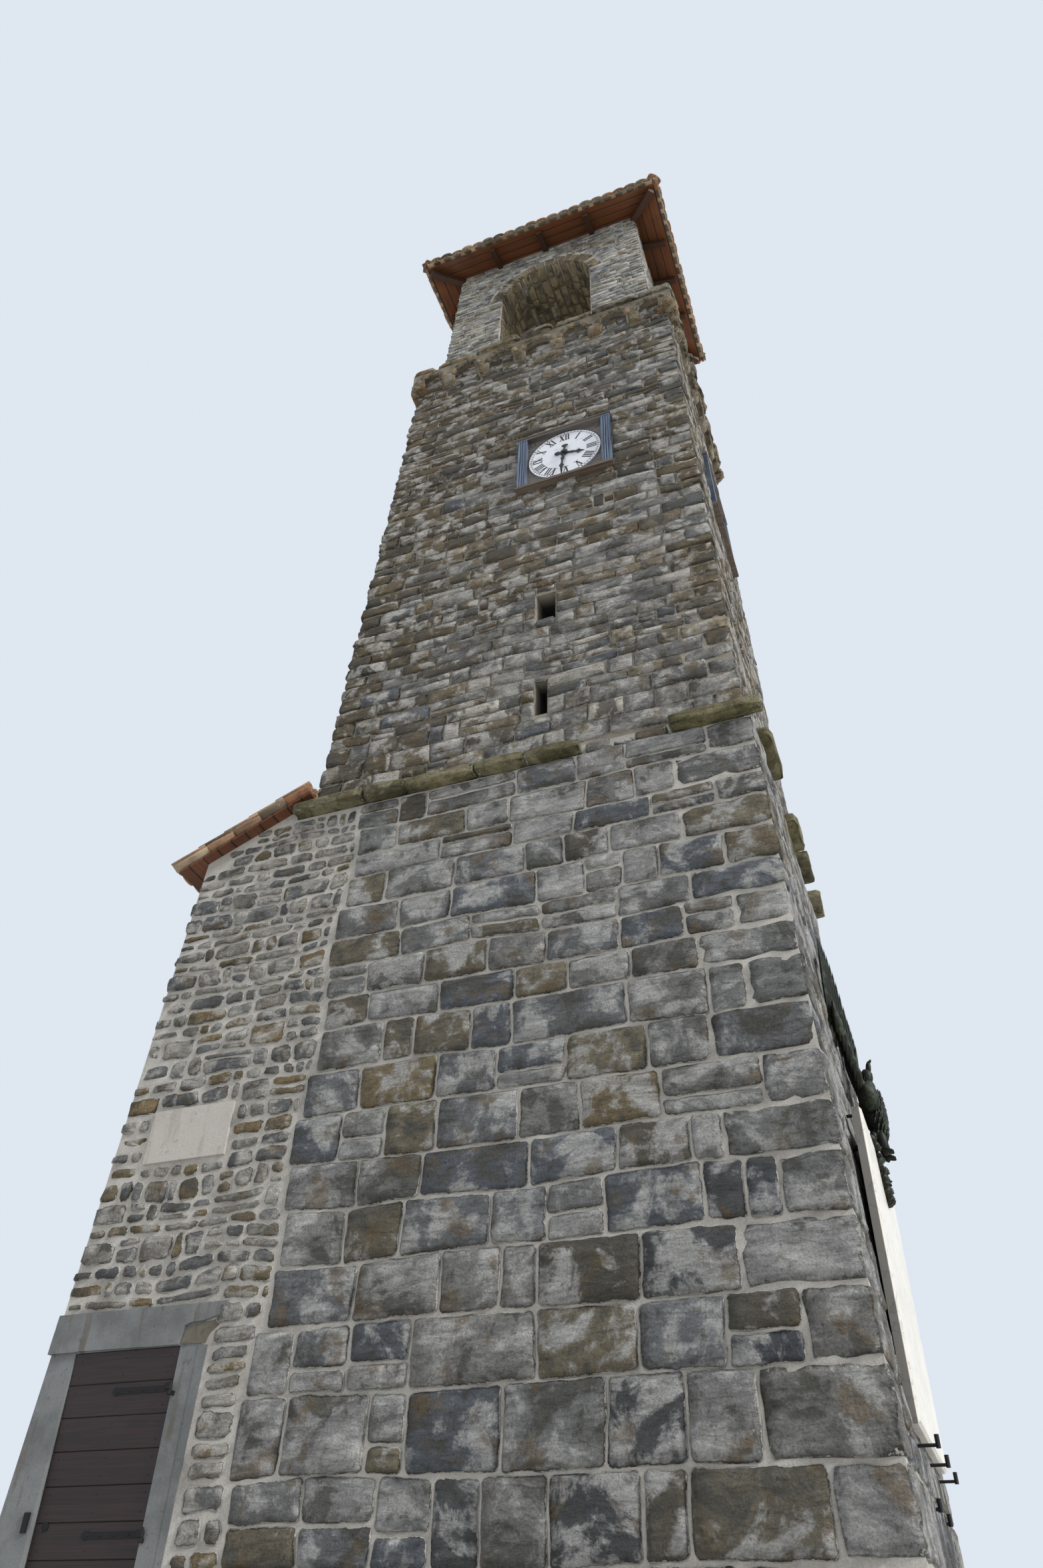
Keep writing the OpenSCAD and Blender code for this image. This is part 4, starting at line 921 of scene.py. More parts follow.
def vault_run(k, z):
    return -1.30, 1.30


arc = make_levels(rng, 0.0, math.pi * VAULT_R, 0.15, 0.15, 0.35)
cells = lay_courses(rng, arc, vault_run, (), (0.16, 0.45), 0.018, VAULT, 0.016, 0.03)
stone_faces(
    "vault_stones", cells, vault_place, (4, 2), 0.02, 0.02,
    "rubble_stone", vault_stone, 33.0, 0.016,
)


def pier_run(k, z):
    half = belfry_half(z)[1] - 0.008
    return -half, half


for sign, name in ((-1, "pier_stones_left"), (1, "pier_stones_right")):
    def place(s, z, out, sign=sign):
        return Vector((sign * (VAULT_R - out), -sign * s, z))
    jamb = make_levels(rng, BEL_Z + 0.24, SPRING_Z, 0.13, 0.12, 0.3)
    cells = lay_courses(rng, jamb, pier_run, (), (0.16, 0.45), 0.020, VAULT, 0.018, 0.02)
    stone_faces(
        name, cells, place, (3, 2), 0.014, 0.014, "rubble_stone", vault_stone, 35.0, 0.016,
    )

# Roof timber: squared softwood plate, hip rafters and common rafters, stained
# red-brown and darkened by weather, under level boards nailed across them.
ROOF_X, ROOF_Y, ROOF_FALL, RIDGE = 2.165, 1.765, math.radians(22), 0.40
BOARD_WIDE, BOARD_THICK = 0.165, 0.024


def timber_finish(name, colour, dark, split, board, streaks=0.55):
    """Stained softwood. Where x is more than y plus split the slope falls along X,
    and elsewhere along Y; boards lie level across it and rafters run down it. board
    is a board's width and 0 for a rafter, whose grain the lighter streaks follow."""
    mat, shader, place = surface(name, 0.62)
    at = add(mat, "SeparateXYZ", {0: place})
    x = add(mat, "Math", {0: at.outputs[0]}, operation="ABSOLUTE")
    y = add(mat, "Math", {0: at.outputs[1]}, operation="ABSOLUTE")
    past = add(mat, "Math", {0: x, 1: split}, operation="SUBTRACT")
    side = add(mat, "Math", {0: past, 1: y}, operation="GREATER_THAN")
    down = add(mat, "Mix", {0: side, 2: y, 3: x}, data_type="FLOAT")
    level = add(mat, "Mix", {0: side, 2: at.outputs[0], 3: at.outputs[1]}, data_type="FLOAT")
    row = add(mat, "Math", {0: down, 1: board if board else 9.0}, operation="DIVIDE")
    number = add(mat, "Math", {0: row}, operation="FLOOR")
    number = add(mat, "Math", {0: side, 1: 31.0, 2: number}, operation="MULTIPLY_ADD")
    tone = add(mat, "TexWhiteNoise", {"W": number}, noise_dimensions="1D")
    run, cross = (level, down) if board else (down, level)
    flow = add(mat, "CombineXYZ", {0: run, 1: cross, 2: at.outputs[2]})
    flow = add(mat, "Mapping", {0: flow, 3: (1.3, 45.0, 6.0 if board else 45.0)})
    own = add(mat, "CombineXYZ", {0: number, 1: tone})
    flow = add(mat, "VectorMath", {0: flow, 1: own}, operation="ADD")
    grain = add(mat, "TexNoise", {"Vector": flow, "Scale": 1.0, "Detail": 5.0, "Roughness": 0.6})
    wet = add(mat, "TexNoise", {
        "Vector": place, "Scale": 1 / 0.6, "Detail": 6.0, "Roughness": 0.65,
    })
    line = add(mat, "MapRange", {0: grain, 1: 0.36, 2: 0.64, 3: streaks, 4: 0.0})
    stain = add(mat, "MapRange", {0: wet, 1: 0.52, 2: 0.72, 3: 0.0, 4: 0.7})
    one = add(mat, "Mix", {0: line, 6: rgb(colour), 7: rgb(dark)}, data_type="RGBA")
    two = add(mat, "Mix", {0: stain, 6: one, 7: rgb(dark)}, data_type="RGBA")
    shade = add(mat, "MapRange", {0: tone, 1: 0.0, 2: 1.0, 3: 0.78, 4: 1.16})
    height = grain
    if board:
        edge = add(mat, "Math", {0: row, 1: 0.5}, operation="PINGPONG")
        seam = add(mat, "MapRange", {0: edge, 1: 0.004 / board, 2: 0.012 / board, 3: 0.22, 4: 1.0})
        shade = add(mat, "Math", {0: shade, 1: seam}, operation="MULTIPLY")
        height = add(mat, "Math", {0: seam, 1: 5.0, 2: height}, operation="MULTIPLY_ADD")
    three = add(mat, "Mix", {0: 1.0, 6: two, 7: shade}, data_type="RGBA", blend_type="MULTIPLY")
    bump = add(mat, "Bump", {"Height": height, "Distance": 0.0025, "Strength": 0.8})
    plug(shader, {"Base Color": three, "Normal": bump})
    return mat


ALL_ALONG_X = -5.0
for name, colour, dark, split, board, nodes in (
    ("stained_softwood_rafters", "452a18", "24150c", RIDGE, 0,
     ("wall_plate", "hip_rafters", "common_rafters")),
    ("stained_softwood_boards", "734220", "3e2614", RIDGE, BOARD_WIDE, ("roof_boards",)),
    ("annex_stained_rafters", "5f3620", "33201a", ALL_ALONG_X, 0, ("annex_rafters",)),
    ("annex_stained_boards", "71452c", "442c20", ALL_ALONG_X, BOARD_WIDE, ("annex_boards",)),
):
    finish(timber_finish(name, colour, dark, split, board), *nodes)

# Roof covering: half-round clay tiles laid loose in columns, hollow ones on the
# boards and covers over the gaps between them, and a line of large ones bedded in
# mortar along the hips and the ridge. Each tile has its own firing colour.
CLAY = (
    ("a58468", 4), ("97775c", 4), ("b39a7d", 3), ("8a6f58", 3),
    ("857b6c", 3), ("a8957d", 2), ("94654a", 2), ("655849", 2),
)
TILE_PITCH, TILE_SKIN, BOARDS_EAVE_Z = 0.21, 0.013, 20.159


def clay_finish(name, lichen, darkening):
    """Fired clay in the tile's own colour, with grey and ochre lichen and soot."""
    mat, shader, place = surface(name, 0.85)
    own = add(mat, "Attribute", attribute_name="stone")
    patch = add(mat, "TexNoise", {
        "Vector": place, "Scale": 1 / 0.11, "Detail": 7.0, "Roughness": 0.7,
    })
    dirt = add(mat, "TexNoise", {
        "Vector": place, "Scale": 1 / 0.3, "Detail": 6.0, "Roughness": 0.65,
    })
    grit = add(mat, "TexNoise", {"Vector": place, "Scale": 1 / 0.008, "Detail": 3.0})
    grown = add(mat, "MapRange", {0: patch, 1: 0.55, 2: 0.61, 3: 0.0, 4: 0.75})
    dark = add(mat, "MapRange", {0: dirt, 1: 0.5, 2: 0.64, 3: 0.0, 4: 0.6})
    one = add(mat, "Mix", {0: dark, 6: own.outputs["Color"], 7: rgb(darkening)}, data_type="RGBA")
    two = add(mat, "Mix", {0: grown, 6: one, 7: rgb(lichen)}, data_type="RGBA")
    speck = add(mat, "MapRange", {0: grit, 1: 0.3, 2: 0.7, 3: 0.8, 4: 1.15})
    three = add(mat, "Mix", {0: 1.0, 6: two, 7: speck}, data_type="RGBA", blend_type="MULTIPLY")
    bump = add(mat, "Bump", {"Height": grit, "Distance": 0.002, "Strength": 0.8})
    plug(shader, {"Base Color": three, "Normal": bump})
    return mat


clay_tile = clay_finish("fired_clay_with_lichen", "9c967c", "4f4236")
bedding = mortar_finish("tile_bedding_mortar", "7a7263", "4c4639", 12)
rng = random.Random(53)


def axes(u, v):
    """Turns X and Y onto u and v."""
    return Matrix((u, v, u.cross(v))).transposed().to_4x4()


def lay_tiles(
    whole, origin, u, v, columns, rows, clips, rise=0.062, half=0.108, length=0.44, step=0.34,
    covers_only=False, start=-0.05,
):
    """Adds a slope of half-round tiles: u runs along the eave and v up the slope."""
    w = u.cross(v)
    bm, tint, unit = cell_mesh()
    tiles = []
    for column in columns:
        for row in range(rows):
            for cover in ((True,) if covers_only else (False, True)):
                at = column + (TILE_PITCH / 2 if cover and not covers_only else 0.0)
                tiles.append((
                    at + rng.uniform(-0.006, 0.006),
                    start + row * step + rng.uniform(-0.012, 0.012),
                    cover, rng.uniform(-0.012, 0.012),
                ))
                k = len(tiles)
                corners = ((0, 0, k), (1, 0, k), (1, 1, k), (0, 1, k))
                add_cell(bm, tint, unit, corners, pick(rng, CLAY), k - 1)
    across = [e for e in bm.edges if abs(e.verts[0][unit].x - e.verts[1][unit].x) > 0.5]
    bmesh.ops.subdivide_edges(bm, edges=across, cuts=5, use_grid_fill=True)
    for vert in bm.verts:
        a, b, k = vert[unit]
        at, low, cover, twist = tiles[round(k)]
        wide = half * (1 - 0.16 * (b if cover else 1 - b))
        out = -wide * math.cos(math.pi * a)
        arch = rise * math.sin(math.pi * a)
        if cover:
            high = (0.0 if covers_only else 0.034) + arch
        else:
            high = 0.006 + rise * 0.85 - 0.85 * arch
        high += 0.018 * (1 - b)
        vert.co = origin + u * (at + out + twist * b) + v * (low + length * b) + w * high
    bmesh.ops.recalc_face_normals(bm, faces=bm.faces[:])
    up = sum(f.normal.dot(w) for f in bm.faces)
    skin = -TILE_SKIN if up > 0 else TILE_SKIN
    bmesh.ops.solidify(bm, geom=bm.faces[:], thickness=skin)
    for point, normal in clips:
        geom = bm.verts[:] + bm.edges[:] + bm.faces[:]
        bmesh.ops.bisect_plane(bm, geom=geom, plane_co=point, plane_no=normal, clear_outer=True)
        bmesh.ops.holes_fill(bm, edges=[e for e in bm.edges if e.is_boundary], sides=0)
    bmesh.ops.recalc_face_normals(bm, faces=bm.faces[:])
    mesh = bpy.data.meshes.new("slope")
    bm.to_mesh(mesh)
    bm.free()
    whole.from_mesh(mesh)
    bpy.data.meshes.remove(mesh)


whole, beds = bmesh.new(), bmesh.new()
eave = BOARDS_EAVE_Z + BOARD_THICK / math.cos(ROOF_FALL)
for turn in range(4):
    spin = Matrix.Rotation(turn * math.pi / 2, 4, "Z")
    along, out = (ROOF_X, ROOF_Y) if turn % 2 == 0 else (ROOF_Y, ROOF_X)
    u = spin @ Vector((1, 0, 0))
    v = spin @ Vector((0, math.cos(ROOF_FALL), math.sin(ROOF_FALL)))
    origin = spin @ Vector((0, -out, eave))
    count = round(2 * along / TILE_PITCH)
    columns = [(i + 0.5 - count / 2) * 2 * along / count for i in range(-1, count + 1)]
    clips = [
        (spin @ Vector((sign * (along - out), 0, 0)), spin @ Vector((sign, 1, 0)))
        for sign in (-1, 1)
    ]
    lay_tiles(whole, origin, u, v, columns, 6, clips)
    for column in columns[1:-2]:
        at = origin + u * (column + TILE_PITCH / 2) - v * 0.012 + u.cross(v) * 0.050
        bed = Matrix.Translation(at) @ axes(u, v) @ Matrix.Diagonal((0.13, 0.06, 0.045, 1.0))
        bmesh.ops.create_cube(beds, size=1.0, matrix=bed)
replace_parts(piece("roof_tile_rows", whole, "clay_tile", clay_tile), "roof_tiles")
piece("eave_bedding", beds, "clay_tile", bedding, smooth=False)
hips = bmesh.new()
top = eave + ROOF_Y * math.tan(ROOF_FALL)
for sx, sy in ((-1, -1), (-1, 1), (1, -1), (1, 1)):
    foot = Vector((sx * ROOF_X, sy * ROOF_Y, eave + 0.055))
    v = (Vector((sx * RIDGE, 0, top + 0.055)) - foot).normalized()
    u = v.cross(Vector((0, 0, 1))).normalized()
    lay_tiles(hips, foot, u, v, [0.0], 7, (), 0.085, 0.115, 0.44, 0.36, True)
ridge_foot = Vector((-RIDGE - 0.12, 0, top + 0.075))
lay_tiles(
    hips, ridge_foot, Vector((0, -1, 0)), Vector((1, 0, 0)), [0.0], 3, (),
    0.09, 0.118, 0.42, 0.31, True, 0.0,
)
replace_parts(piece("hip_and_ridge_tiles", hips, "clay_tile", clay_tile), "hip_tiles")

EDGE_X, VERGE_Y, ANNEX_PITCH = -4.08, 2.14, 0.205
whole = bmesh.new()
edge_z = ANNEX_SOFFIT + (EDGE_X - ANNEX_HEAD_X) * math.tan(ANNEX_SLOPE)
origin = Vector((EDGE_X, 0, edge_z + BOARD_THICK / math.cos(ANNEX_SLOPE)))
up_slope = Vector((math.cos(ANNEX_SLOPE), 0, math.sin(ANNEX_SLOPE)))
clips = [
    (Vector((ANNEX_HEAD_X, 0, 0)), Vector((1, 0, 0))),
    (Vector((0, -VERGE_Y, 0)), Vector((0, -1, 0))),
    (Vector((0, VERGE_Y, 0)), Vector((0, 1, 0))),
]
columns = [(i - 10) * ANNEX_PITCH for i in range(21)]
lay_tiles(whole, origin, Vector((0, -1, 0)), up_slope, columns, 5, clips)
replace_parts(piece("annex_tile_rows", whole, "clay_tile", clay_tile), "annex_tiles")

# Clocks: deep painted timber frames with fluted stiles and bare brown rails, white
# enamelled dials with painted roman numerals, and black iron hands.
NUMERALS = ("XII", "I", "II", "III", "IIII", "V", "VI", "VII", "VIII", "IX", "X", "XI")
WIDTHS = {"I": 0.036, "V": 0.084, "X": 0.084}
FOOT_R, HEAD_R, MARKS_OUT = 0.325, 0.462, 0.0388


def clock_frame_finish():
    """Blue paint streaked pale by rain on the stiles, bare grey wood between them."""
    mat, shader, place = surface("streaked_clock_frame_paint", 0.55)
    at = add(mat, "SeparateXYZ", {0: place})
    side = add(mat, "Math", {0: at.outputs[0], 1: 1.6}, operation="GREATER_THAN")
    front = add(mat, "Math", {0: at.outputs[0], 1: CLOCK_X}, operation="SUBTRACT")
    u = add(mat, "Mix", {0: side, 2: front, 3: at.outputs[1]}, data_type="FLOAT")
    off = add(mat, "Math", {0: u}, operation="ABSOLUTE")
    stile = add(mat, "MapRange", {0: off, 1: 0.538, 2: 0.546})
    upright = add(mat, "CombineXYZ", {0: u, 1: at.outputs[2]})
    rain = add(mat, "Mapping", {0: upright, 3: (70.0, 1.1, 1.0)})
    level = add(mat, "Mapping", {0: upright, 3: (1.2, 60.0, 1.0)})
    run = add(mat, "TexNoise", {"Vector": rain, "Scale": 1.0, "Detail": 4.0, "Roughness": 0.6})
    grain = add(mat, "TexNoise", {"Vector": level, "Scale": 1.0, "Detail": 4.0, "Roughness": 0.6})
    flake = add(mat, "TexNoise", {
        "Vector": place, "Scale": 1 / 0.06, "Detail": 6.0, "Roughness": 0.7,
    })
    streak = add(mat, "MapRange", {0: run, 1: 0.4, 2: 0.6})
    blue = add(mat, "Mix", {0: streak, 6: rgb("263349"), 7: rgb("62768f")}, data_type="RGBA")
    wood_line = add(mat, "MapRange", {0: grain, 1: 0.36, 2: 0.62})
    wood = add(mat, "Mix", {0: wood_line, 6: rgb("3f3d3f"), 7: rgb("6f6a64")}, data_type="RGBA")
    lost = add(mat, "MapRange", {0: flake, 1: 0.56, 2: 0.6, 3: 1.0, 4: 0.35})
    part = add(mat, "Math", {0: stile, 1: lost}, operation="MULTIPLY")
    both = add(mat, "Mix", {0: part, 6: wood, 7: blue}, data_type="RGBA")
    bump = add(mat, "Bump", {"Height": run, "Distance": 0.003, "Strength": 0.7})
    plug(shader, {"Base Color": both, "Normal": bump})
    return mat


def plain_finish(name, colour, worn, roughness, metallic, size_mm, share, depth_mm):
    """One colour worn or spotted with another, for enamel, paint, iron or bronze."""
    mat, shader, place = surface(name, roughness, metallic)
    spots = add(mat, "TexNoise", {
        "Vector": place, "Scale": 1000 / size_mm, "Detail": 7.0, "Roughness": 0.7,
    })
    fine = add(mat, "TexNoise", {"Vector": place, "Scale": 6000 / size_mm, "Detail": 3.0})
    part = add(mat, "MapRange", {0: spots, 1: 0.66 - 0.3 * share, 2: 0.74 - 0.3 * share})
    both = add(mat, "Mix", {0: part, 6: rgb(colour), 7: rgb(worn)}, data_type="RGBA")
    dull = add(mat, "MapRange", {0: part, 3: roughness, 4: min(1.0, roughness + 0.25)})
    high = add(mat, "Math", {0: fine, 1: 0.5, 2: spots}, operation="MULTIPLY_ADD")
    bump = add(mat, "Bump", {"Height": high, "Distance": depth_mm / 1000, "Strength": 0.8})
    plug(shader, {"Base Color": both, "Roughness": dull, "Normal": bump})
    return mat


def dial_place(centre, u, v):
    """Puts a point given across, up and out of a dial on the tower."""
    return Matrix.Translation(Vector(centre)) @ axes(Vector(u), Vector(v))


finish(clock_frame_finish(), "clock_frames")
enamel = plain_finish("white_enamel_dial", "dfe3ea", "c9cdd2", 0.35, 0.0, 220, 0.3, 0.2)
finish(enamel, "clock_dials")
black_paint = plain_finish("black_dial_paint", "121317", "24252a", 0.45, 0.0, 60, 0.3, 0.2)
finish(black_paint, "front_hour_hand", "front_minute_hand", "side_hour_hand", "side_minute_hand")
lean, side_lean = math.atan(MID_LEAN), math.atan(MID_SIDE_LEAN)
clocks = {
    "front": dial_place(
        (CLOCK_X, -1.7187, CLOCK_Z), (1, 0, 0), (0, math.sin(lean), math.cos(lean)),
    ),
    "side": dial_place(
        (2.1475, 0, CLOCK_Z), (0, 1, 0), (-math.sin(side_lean), 0, math.cos(side_lean)),
    ),
}
dial_marks, frame_trim = bmesh.new(), bmesh.new()
for onto in clocks.values():
    def bar(a, r0, r1, left0, left1, thick, onto=onto):
        """Straight stroke between two radii on the ray at angle a, shifted sideways."""
        ray = Matrix.Rotation(-a, 4, "Z")
        p0, p1 = ray @ Vector((left0, r0, MARKS_OUT)), ray @ Vector((left1, r1, MARKS_OUT))
        turn = math.atan2(p1.x - p0.x, p1.y - p0.y)
        size = Matrix.Diagonal((thick, (p1 - p0).length, 0.0016, 1.0))
        at = onto @ Matrix.Translation((p0 + p1) / 2) @ Matrix.Rotation(-turn, 4, "Z") @ size
        bmesh.ops.create_cube(dial_marks, size=1.0, matrix=at)
    for number, text in enumerate(NUMERALS):
        a = math.radians(30 * number)
        at = -sum(WIDTHS[c] for c in text) / 2
        for c in text:
            mid = at + WIDTHS[c] / 2
            reach = WIDTHS[c] / 2 - 0.014
            strokes = {
                "I": ((mid, mid, 0.020),),
                "V": ((mid, mid - reach, 0.022), (mid, mid + reach, 0.010)),
                "X": ((mid + reach, mid - reach, 0.022), (mid - reach, mid + reach, 0.010)),
            }[c]
            for foot, head, thick in strokes:
                bar(a, FOOT_R, HEAD_R, foot, head, thick)
            for r in (FOOT_R + 0.002, HEAD_R - 0.002):
                bar(a, r - 0.003, r + 0.003, mid, mid, WIDTHS[c] - 0.006)
            at += WIDTHS[c]
    for minute in range(60):
        top, thick = (0.502, 0.010) if minute % 5 else (0.508, 0.016)
        bar(math.radians(6 * minute), 0.484, top, 0.0, 0.0, thick)
    for radius, wide in ((0.478, 0.004), (0.520, 0.014)):
        ring_place = onto @ Matrix.Translation((0, 0, 0.0396))
        ring = bmesh.ops.create_circle(
            dial_marks, segments=96, radius=radius, matrix=ring_place,
        )
        edges = list({e for vert in ring["verts"] for e in vert.link_edges})
        wider = bmesh.ops.extrude_edge_only(dial_marks, edges=edges)
        grow = 1 + wide / radius
        for vert in wider["geom"]:
            if isinstance(vert, bmesh.types.BMVert):
                local = onto.inverted() @ vert.co
                vert.co = onto @ Vector((local.x * grow, local.y * grow, local.z))
    boss = onto @ Matrix.Translation((0, 0, 0.0855)) @ Matrix.Diagonal((0.031, 0.031, 0.009, 1.0))
    bmesh.ops.create_uvsphere(dial_marks, u_segments=24, v_segments=10, radius=1.0, matrix=boss)
    for sx in (-1, 1):
        for sy in (-1, 1):
            spot = onto @ Matrix.Translation((sx * 0.475, sy * 0.475, 0.03))
            for r, high in ((0.046, 0.006), (0.024, 0.016)):
                stud = spot @ Matrix.Diagonal((r, r, high, 1.0))
                bmesh.ops.create_uvsphere(
                    frame_trim, u_segments=20, v_segments=10, radius=1.0, matrix=stud,
                )
    for low, high, wide, out in ((-0.618, -0.572, 1.385, 0.106), (0.590, 0.618, 1.37, 0.102)):
        size = Matrix.Diagonal((wide, high - low, out, 1.0))
        rail = onto @ Matrix.Translation((0, (low + high) / 2, out / 2)) @ size
        bmesh.ops.create_cube(frame_trim, size=1.0, matrix=rail)
bmesh.ops.recalc_face_normals(dial_marks, faces=dial_marks.faces[:])
piece("dial_numerals", dial_marks, "clock_dial_paint", black_paint, smooth=False)
rail_wood = timber_finish("weathered_rail_wood", "75675a", "3d3228", -9.0, 0, 0.8)
piece("clock_frame_trim", frame_trim, "clock_frame_paint", rail_wood, smooth=False)
for face, onto in clocks.items():
    for hand, turn, out, shapes in (
        ("hour", 105.5, 0.051, (
            (0.0, 0.062, 0.052), (0.115, 0.028, 0.04), (0.185, 0.020, 0.03), (-0.105, 0.042, 0.042),
        )),
        ("minute", 186.0, 0.068, (
            (0.0, 0.055, 0.06), (0.15, 0.030, 0.05), (0.27, 0.019, 0.03), (-0.145, 0.050, 0.035),
        )),
    ):
        ornament = bmesh.new()
        ray = onto @ Matrix.Rotation(-math.radians(turn), 4, "Z")
        for reach, wide, tall in shapes:
            size = Matrix.Diagonal((wide, tall, 0.0032, 1.0))
            swelling = ray @ Matrix.Translation((0, reach, out)) @ size
            bmesh.ops.create_uvsphere(
                ornament, u_segments=20, v_segments=8, radius=1.0, matrix=swelling,
            )
        name = face + "_" + hand
        piece(name + "_ornament", ornament, "clock_hand_paint", black_paint, body=name)

# Iron: hand-forged bars, straps, pintles and hooks, black with brown rust.
wrought_iron = plain_finish("rusted_wrought_iron", "18191c", "33271f", 0.6, 0.4, 40, 0.4, 1.6)
finish(wrought_iron, "belfry_bars", "tablet_irons", "door_straps", "door_pintles")

# Tablet: slabs of white veined marble, polished once, hung clear of the wall.
SLAB_WIDE, FIRST_SEAM = 1.3, 1.2


def marble_finish():
    """White marble with soft grey veins and fine upright joints between slabs."""
    mat, shader, place = surface("white_veined_marble", 0.32)
    bend = add(mat, "TexNoise", {
        "Vector": place, "Scale": 1 / 0.7, "Detail": 6.0, "Roughness": 0.6,
    })
    vein = add(mat, "TexNoise", {
        "Vector": place, "Scale": 1 / 0.5, "Detail": 8.0, "Roughness": 0.62, "Distortion": 1.4,
    })
    near = add(mat, "Math", {0: vein, 1: 0.5}, operation="SUBTRACT")
    near = add(mat, "Math", {0: near}, operation="ABSOLUTE")
    line = add(mat, "MapRange", {0: near, 1: 0.0, 2: 0.022, 3: 0.55, 4: 0.0})
    cloud = add(mat, "MapRange", {0: bend, 1: 0.45, 2: 0.7, 3: 0.0, 4: 0.5})
    one = add(mat, "Mix", {0: cloud, 6: rgb("dcd9d1"), 7: rgb("c6c0b2")}, data_type="RGBA")
    two = add(mat, "Mix", {0: line, 6: one, 7: rgb("9b9a98")}, data_type="RGBA")
    at = add(mat, "SeparateXYZ", {0: place})
    column = add(mat, "Math", {0: at.outputs[1], 1: FIRST_SEAM}, operation="ADD")
    column = add(mat, "Math", {0: column, 1: SLAB_WIDE}, operation="DIVIDE")
    gap = add(mat, "Math", {0: column, 1: 0.5}, operation="PINGPONG")
    seam = add(mat, "MapRange", {0: gap, 1: 0.0015, 2: 0.004, 3: 0.3, 4: 1.0})
    three = add(mat, "Mix", {0: 1.0, 6: two, 7: seam}, data_type="RGBA", blend_type="MULTIPLY")
    plug(shader, {"Base Color": three})
    return mat


finish(marble_finish(), "marble_tablet")

# Eagle: cast bronze gone black-green, wings raised flat against the wall, head
# up, claws on a garland that hangs over the upper edge of the tablet.
bronze = plain_finish("dark_patinated_bronze", "23251f", "45503f", 0.5, 0.75, 120, 0.4, 3.0)
figure = bmesh.new()
PERCH_Y, PERCH_Z = 0.15, 3.624
PERCH_X = WALL_X - FOOT_LEAN * PERCH_Z


def lump(out, side, up, rx, ry, rz, tip=0.0, roll=0.0, detail=2):
    """Rounded solid at a place out from the wall, along it and above the tablet."""
    turn = Matrix.Rotation(roll, 4, "X") @ Matrix.Rotation(tip, 4, "Y")
    at = Matrix.Translation((PERCH_X + out - FOOT_LEAN * up, PERCH_Y + side, PERCH_Z + up))
    size = Matrix.Diagonal((rx, ry, rz, 1.0))
    bmesh.ops.create_icosphere(figure, subdivisions=detail, radius=1.0, matrix=at @ turn @ size)


# The breast, belly, neck, head and raised beak, then rows of overlapping feathers.
lump(0.215, 0, 0.43, 0.115, 0.135, 0.24, -0.15, 0, 3)
lump(0.205, 0, 0.20, 0.075, 0.10, 0.13, 0.1)
lump(0.210, 0, 0.63, 0.078, 0.085, 0.15, 0.05)
lump(0.225, 0, 0.775, 0.062, 0.058, 0.09, 0.15)
lump(0.262, 0, 0.865, 0.026, 0.022, 0.075, 0.15)
lump(0.284, 0, 0.925, 0.014, 0.012, 0.032, 0.6)
for row in range(11):
    up = 0.20 + 0.055 * row
    wide = 1.0 if up < 0.6 else 0.62
    swell = math.sqrt(max(0.15, 1 - ((up - 0.42) / 0.36) ** 2))
    for k in range(-4, 5):
        turn = k * 0.36 + (0.18 if row % 2 else 0)
        lump(
            0.20 + 0.115 * wide * swell * math.cos(turn), 0.138 * wide * swell * math.sin(turn), up,
            0.014, 0.026, 0.048, 0.35, 0.0, 1,
        )
# Each side: shoulder, flight feathers, two rows of coverts, leg and three claws.
for side in (-1, 1):
    lump(0.205, side * 0.13, 0.52, 0.10, 0.10, 0.16, -0.1, side * -0.3)
    for k in range(11):
        t = k / 10
        span = side * (0.17 + 0.50 * t ** 0.8)
        reach = 0.62 * (0.42 + 0.34 * math.sin(math.pi * (0.2 + 0.55 * t)))
        splay = side * (-0.30 + 0.10 * t)
        lump(0.150 - 0.085 * t, span, 0.50 + 0.62 * t + reach, 0.016, 0.042, reach, 0.05, splay)
    for k in range(9):
        t = k / 8
        span, splay = side * (0.13 + 0.44 * t), side * (-0.45 + 0.1 * t)
        lump(0.175 - 0.085 * t, span, 0.56 + 0.60 * t, 0.026, 0.055, 0.16, 0.05, splay)
    for k in range(7):
        t = k / 6
        span = side * (0.10 + 0.40 * t)
        lump(0.195 - 0.085 * t, span, 0.50 + 0.60 * t, 0.034, 0.05, 0.09, 0.05, side * -0.5)
    lump(0.235, side * 0.085, 0.12, 0.05, 0.045, 0.13, -0.1)
    for k in range(3):
        lump(0.275, side * (0.055 + 0.033 * k), 0.035, 0.045, 0.013, 0.016, 0.3)
# Below: the fanned tail, the leaves of the garland and the plate it stands on.
for k in range(7):
    t = (k - 3) / 3
    lump(0.10, 0.10 * t, 0.02, 0.018, 0.03, 0.22, 0.1, 0.35 * t)
for k in range(26):
    t = k / 25
    at, drop = -0.42 + 0.84 * t, 0.03 - 0.40 * math.sin(math.pi * t)
    lump(0.150 + 0.02 * math.sin(k * 2.3), at, drop, 0.052, 0.045, 0.055, k * 0.7, k * 1.1)
    at, drop = at + 0.02 * math.sin(k * 1.7), drop + 0.03 * math.cos(k * 2.1)
    lump(0.185, at, drop, 0.03, 0.02, 0.045, k * 1.3, k * 0.6, 1)
lump(0.10, 0, -0.005, 0.13, 0.14, 0.035)
bmesh.ops.recalc_face_normals(figure, faces=figure.faces[:])
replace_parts(piece("cast_eagle", figure, "dark_bronze", bronze), "bronze_eagle")

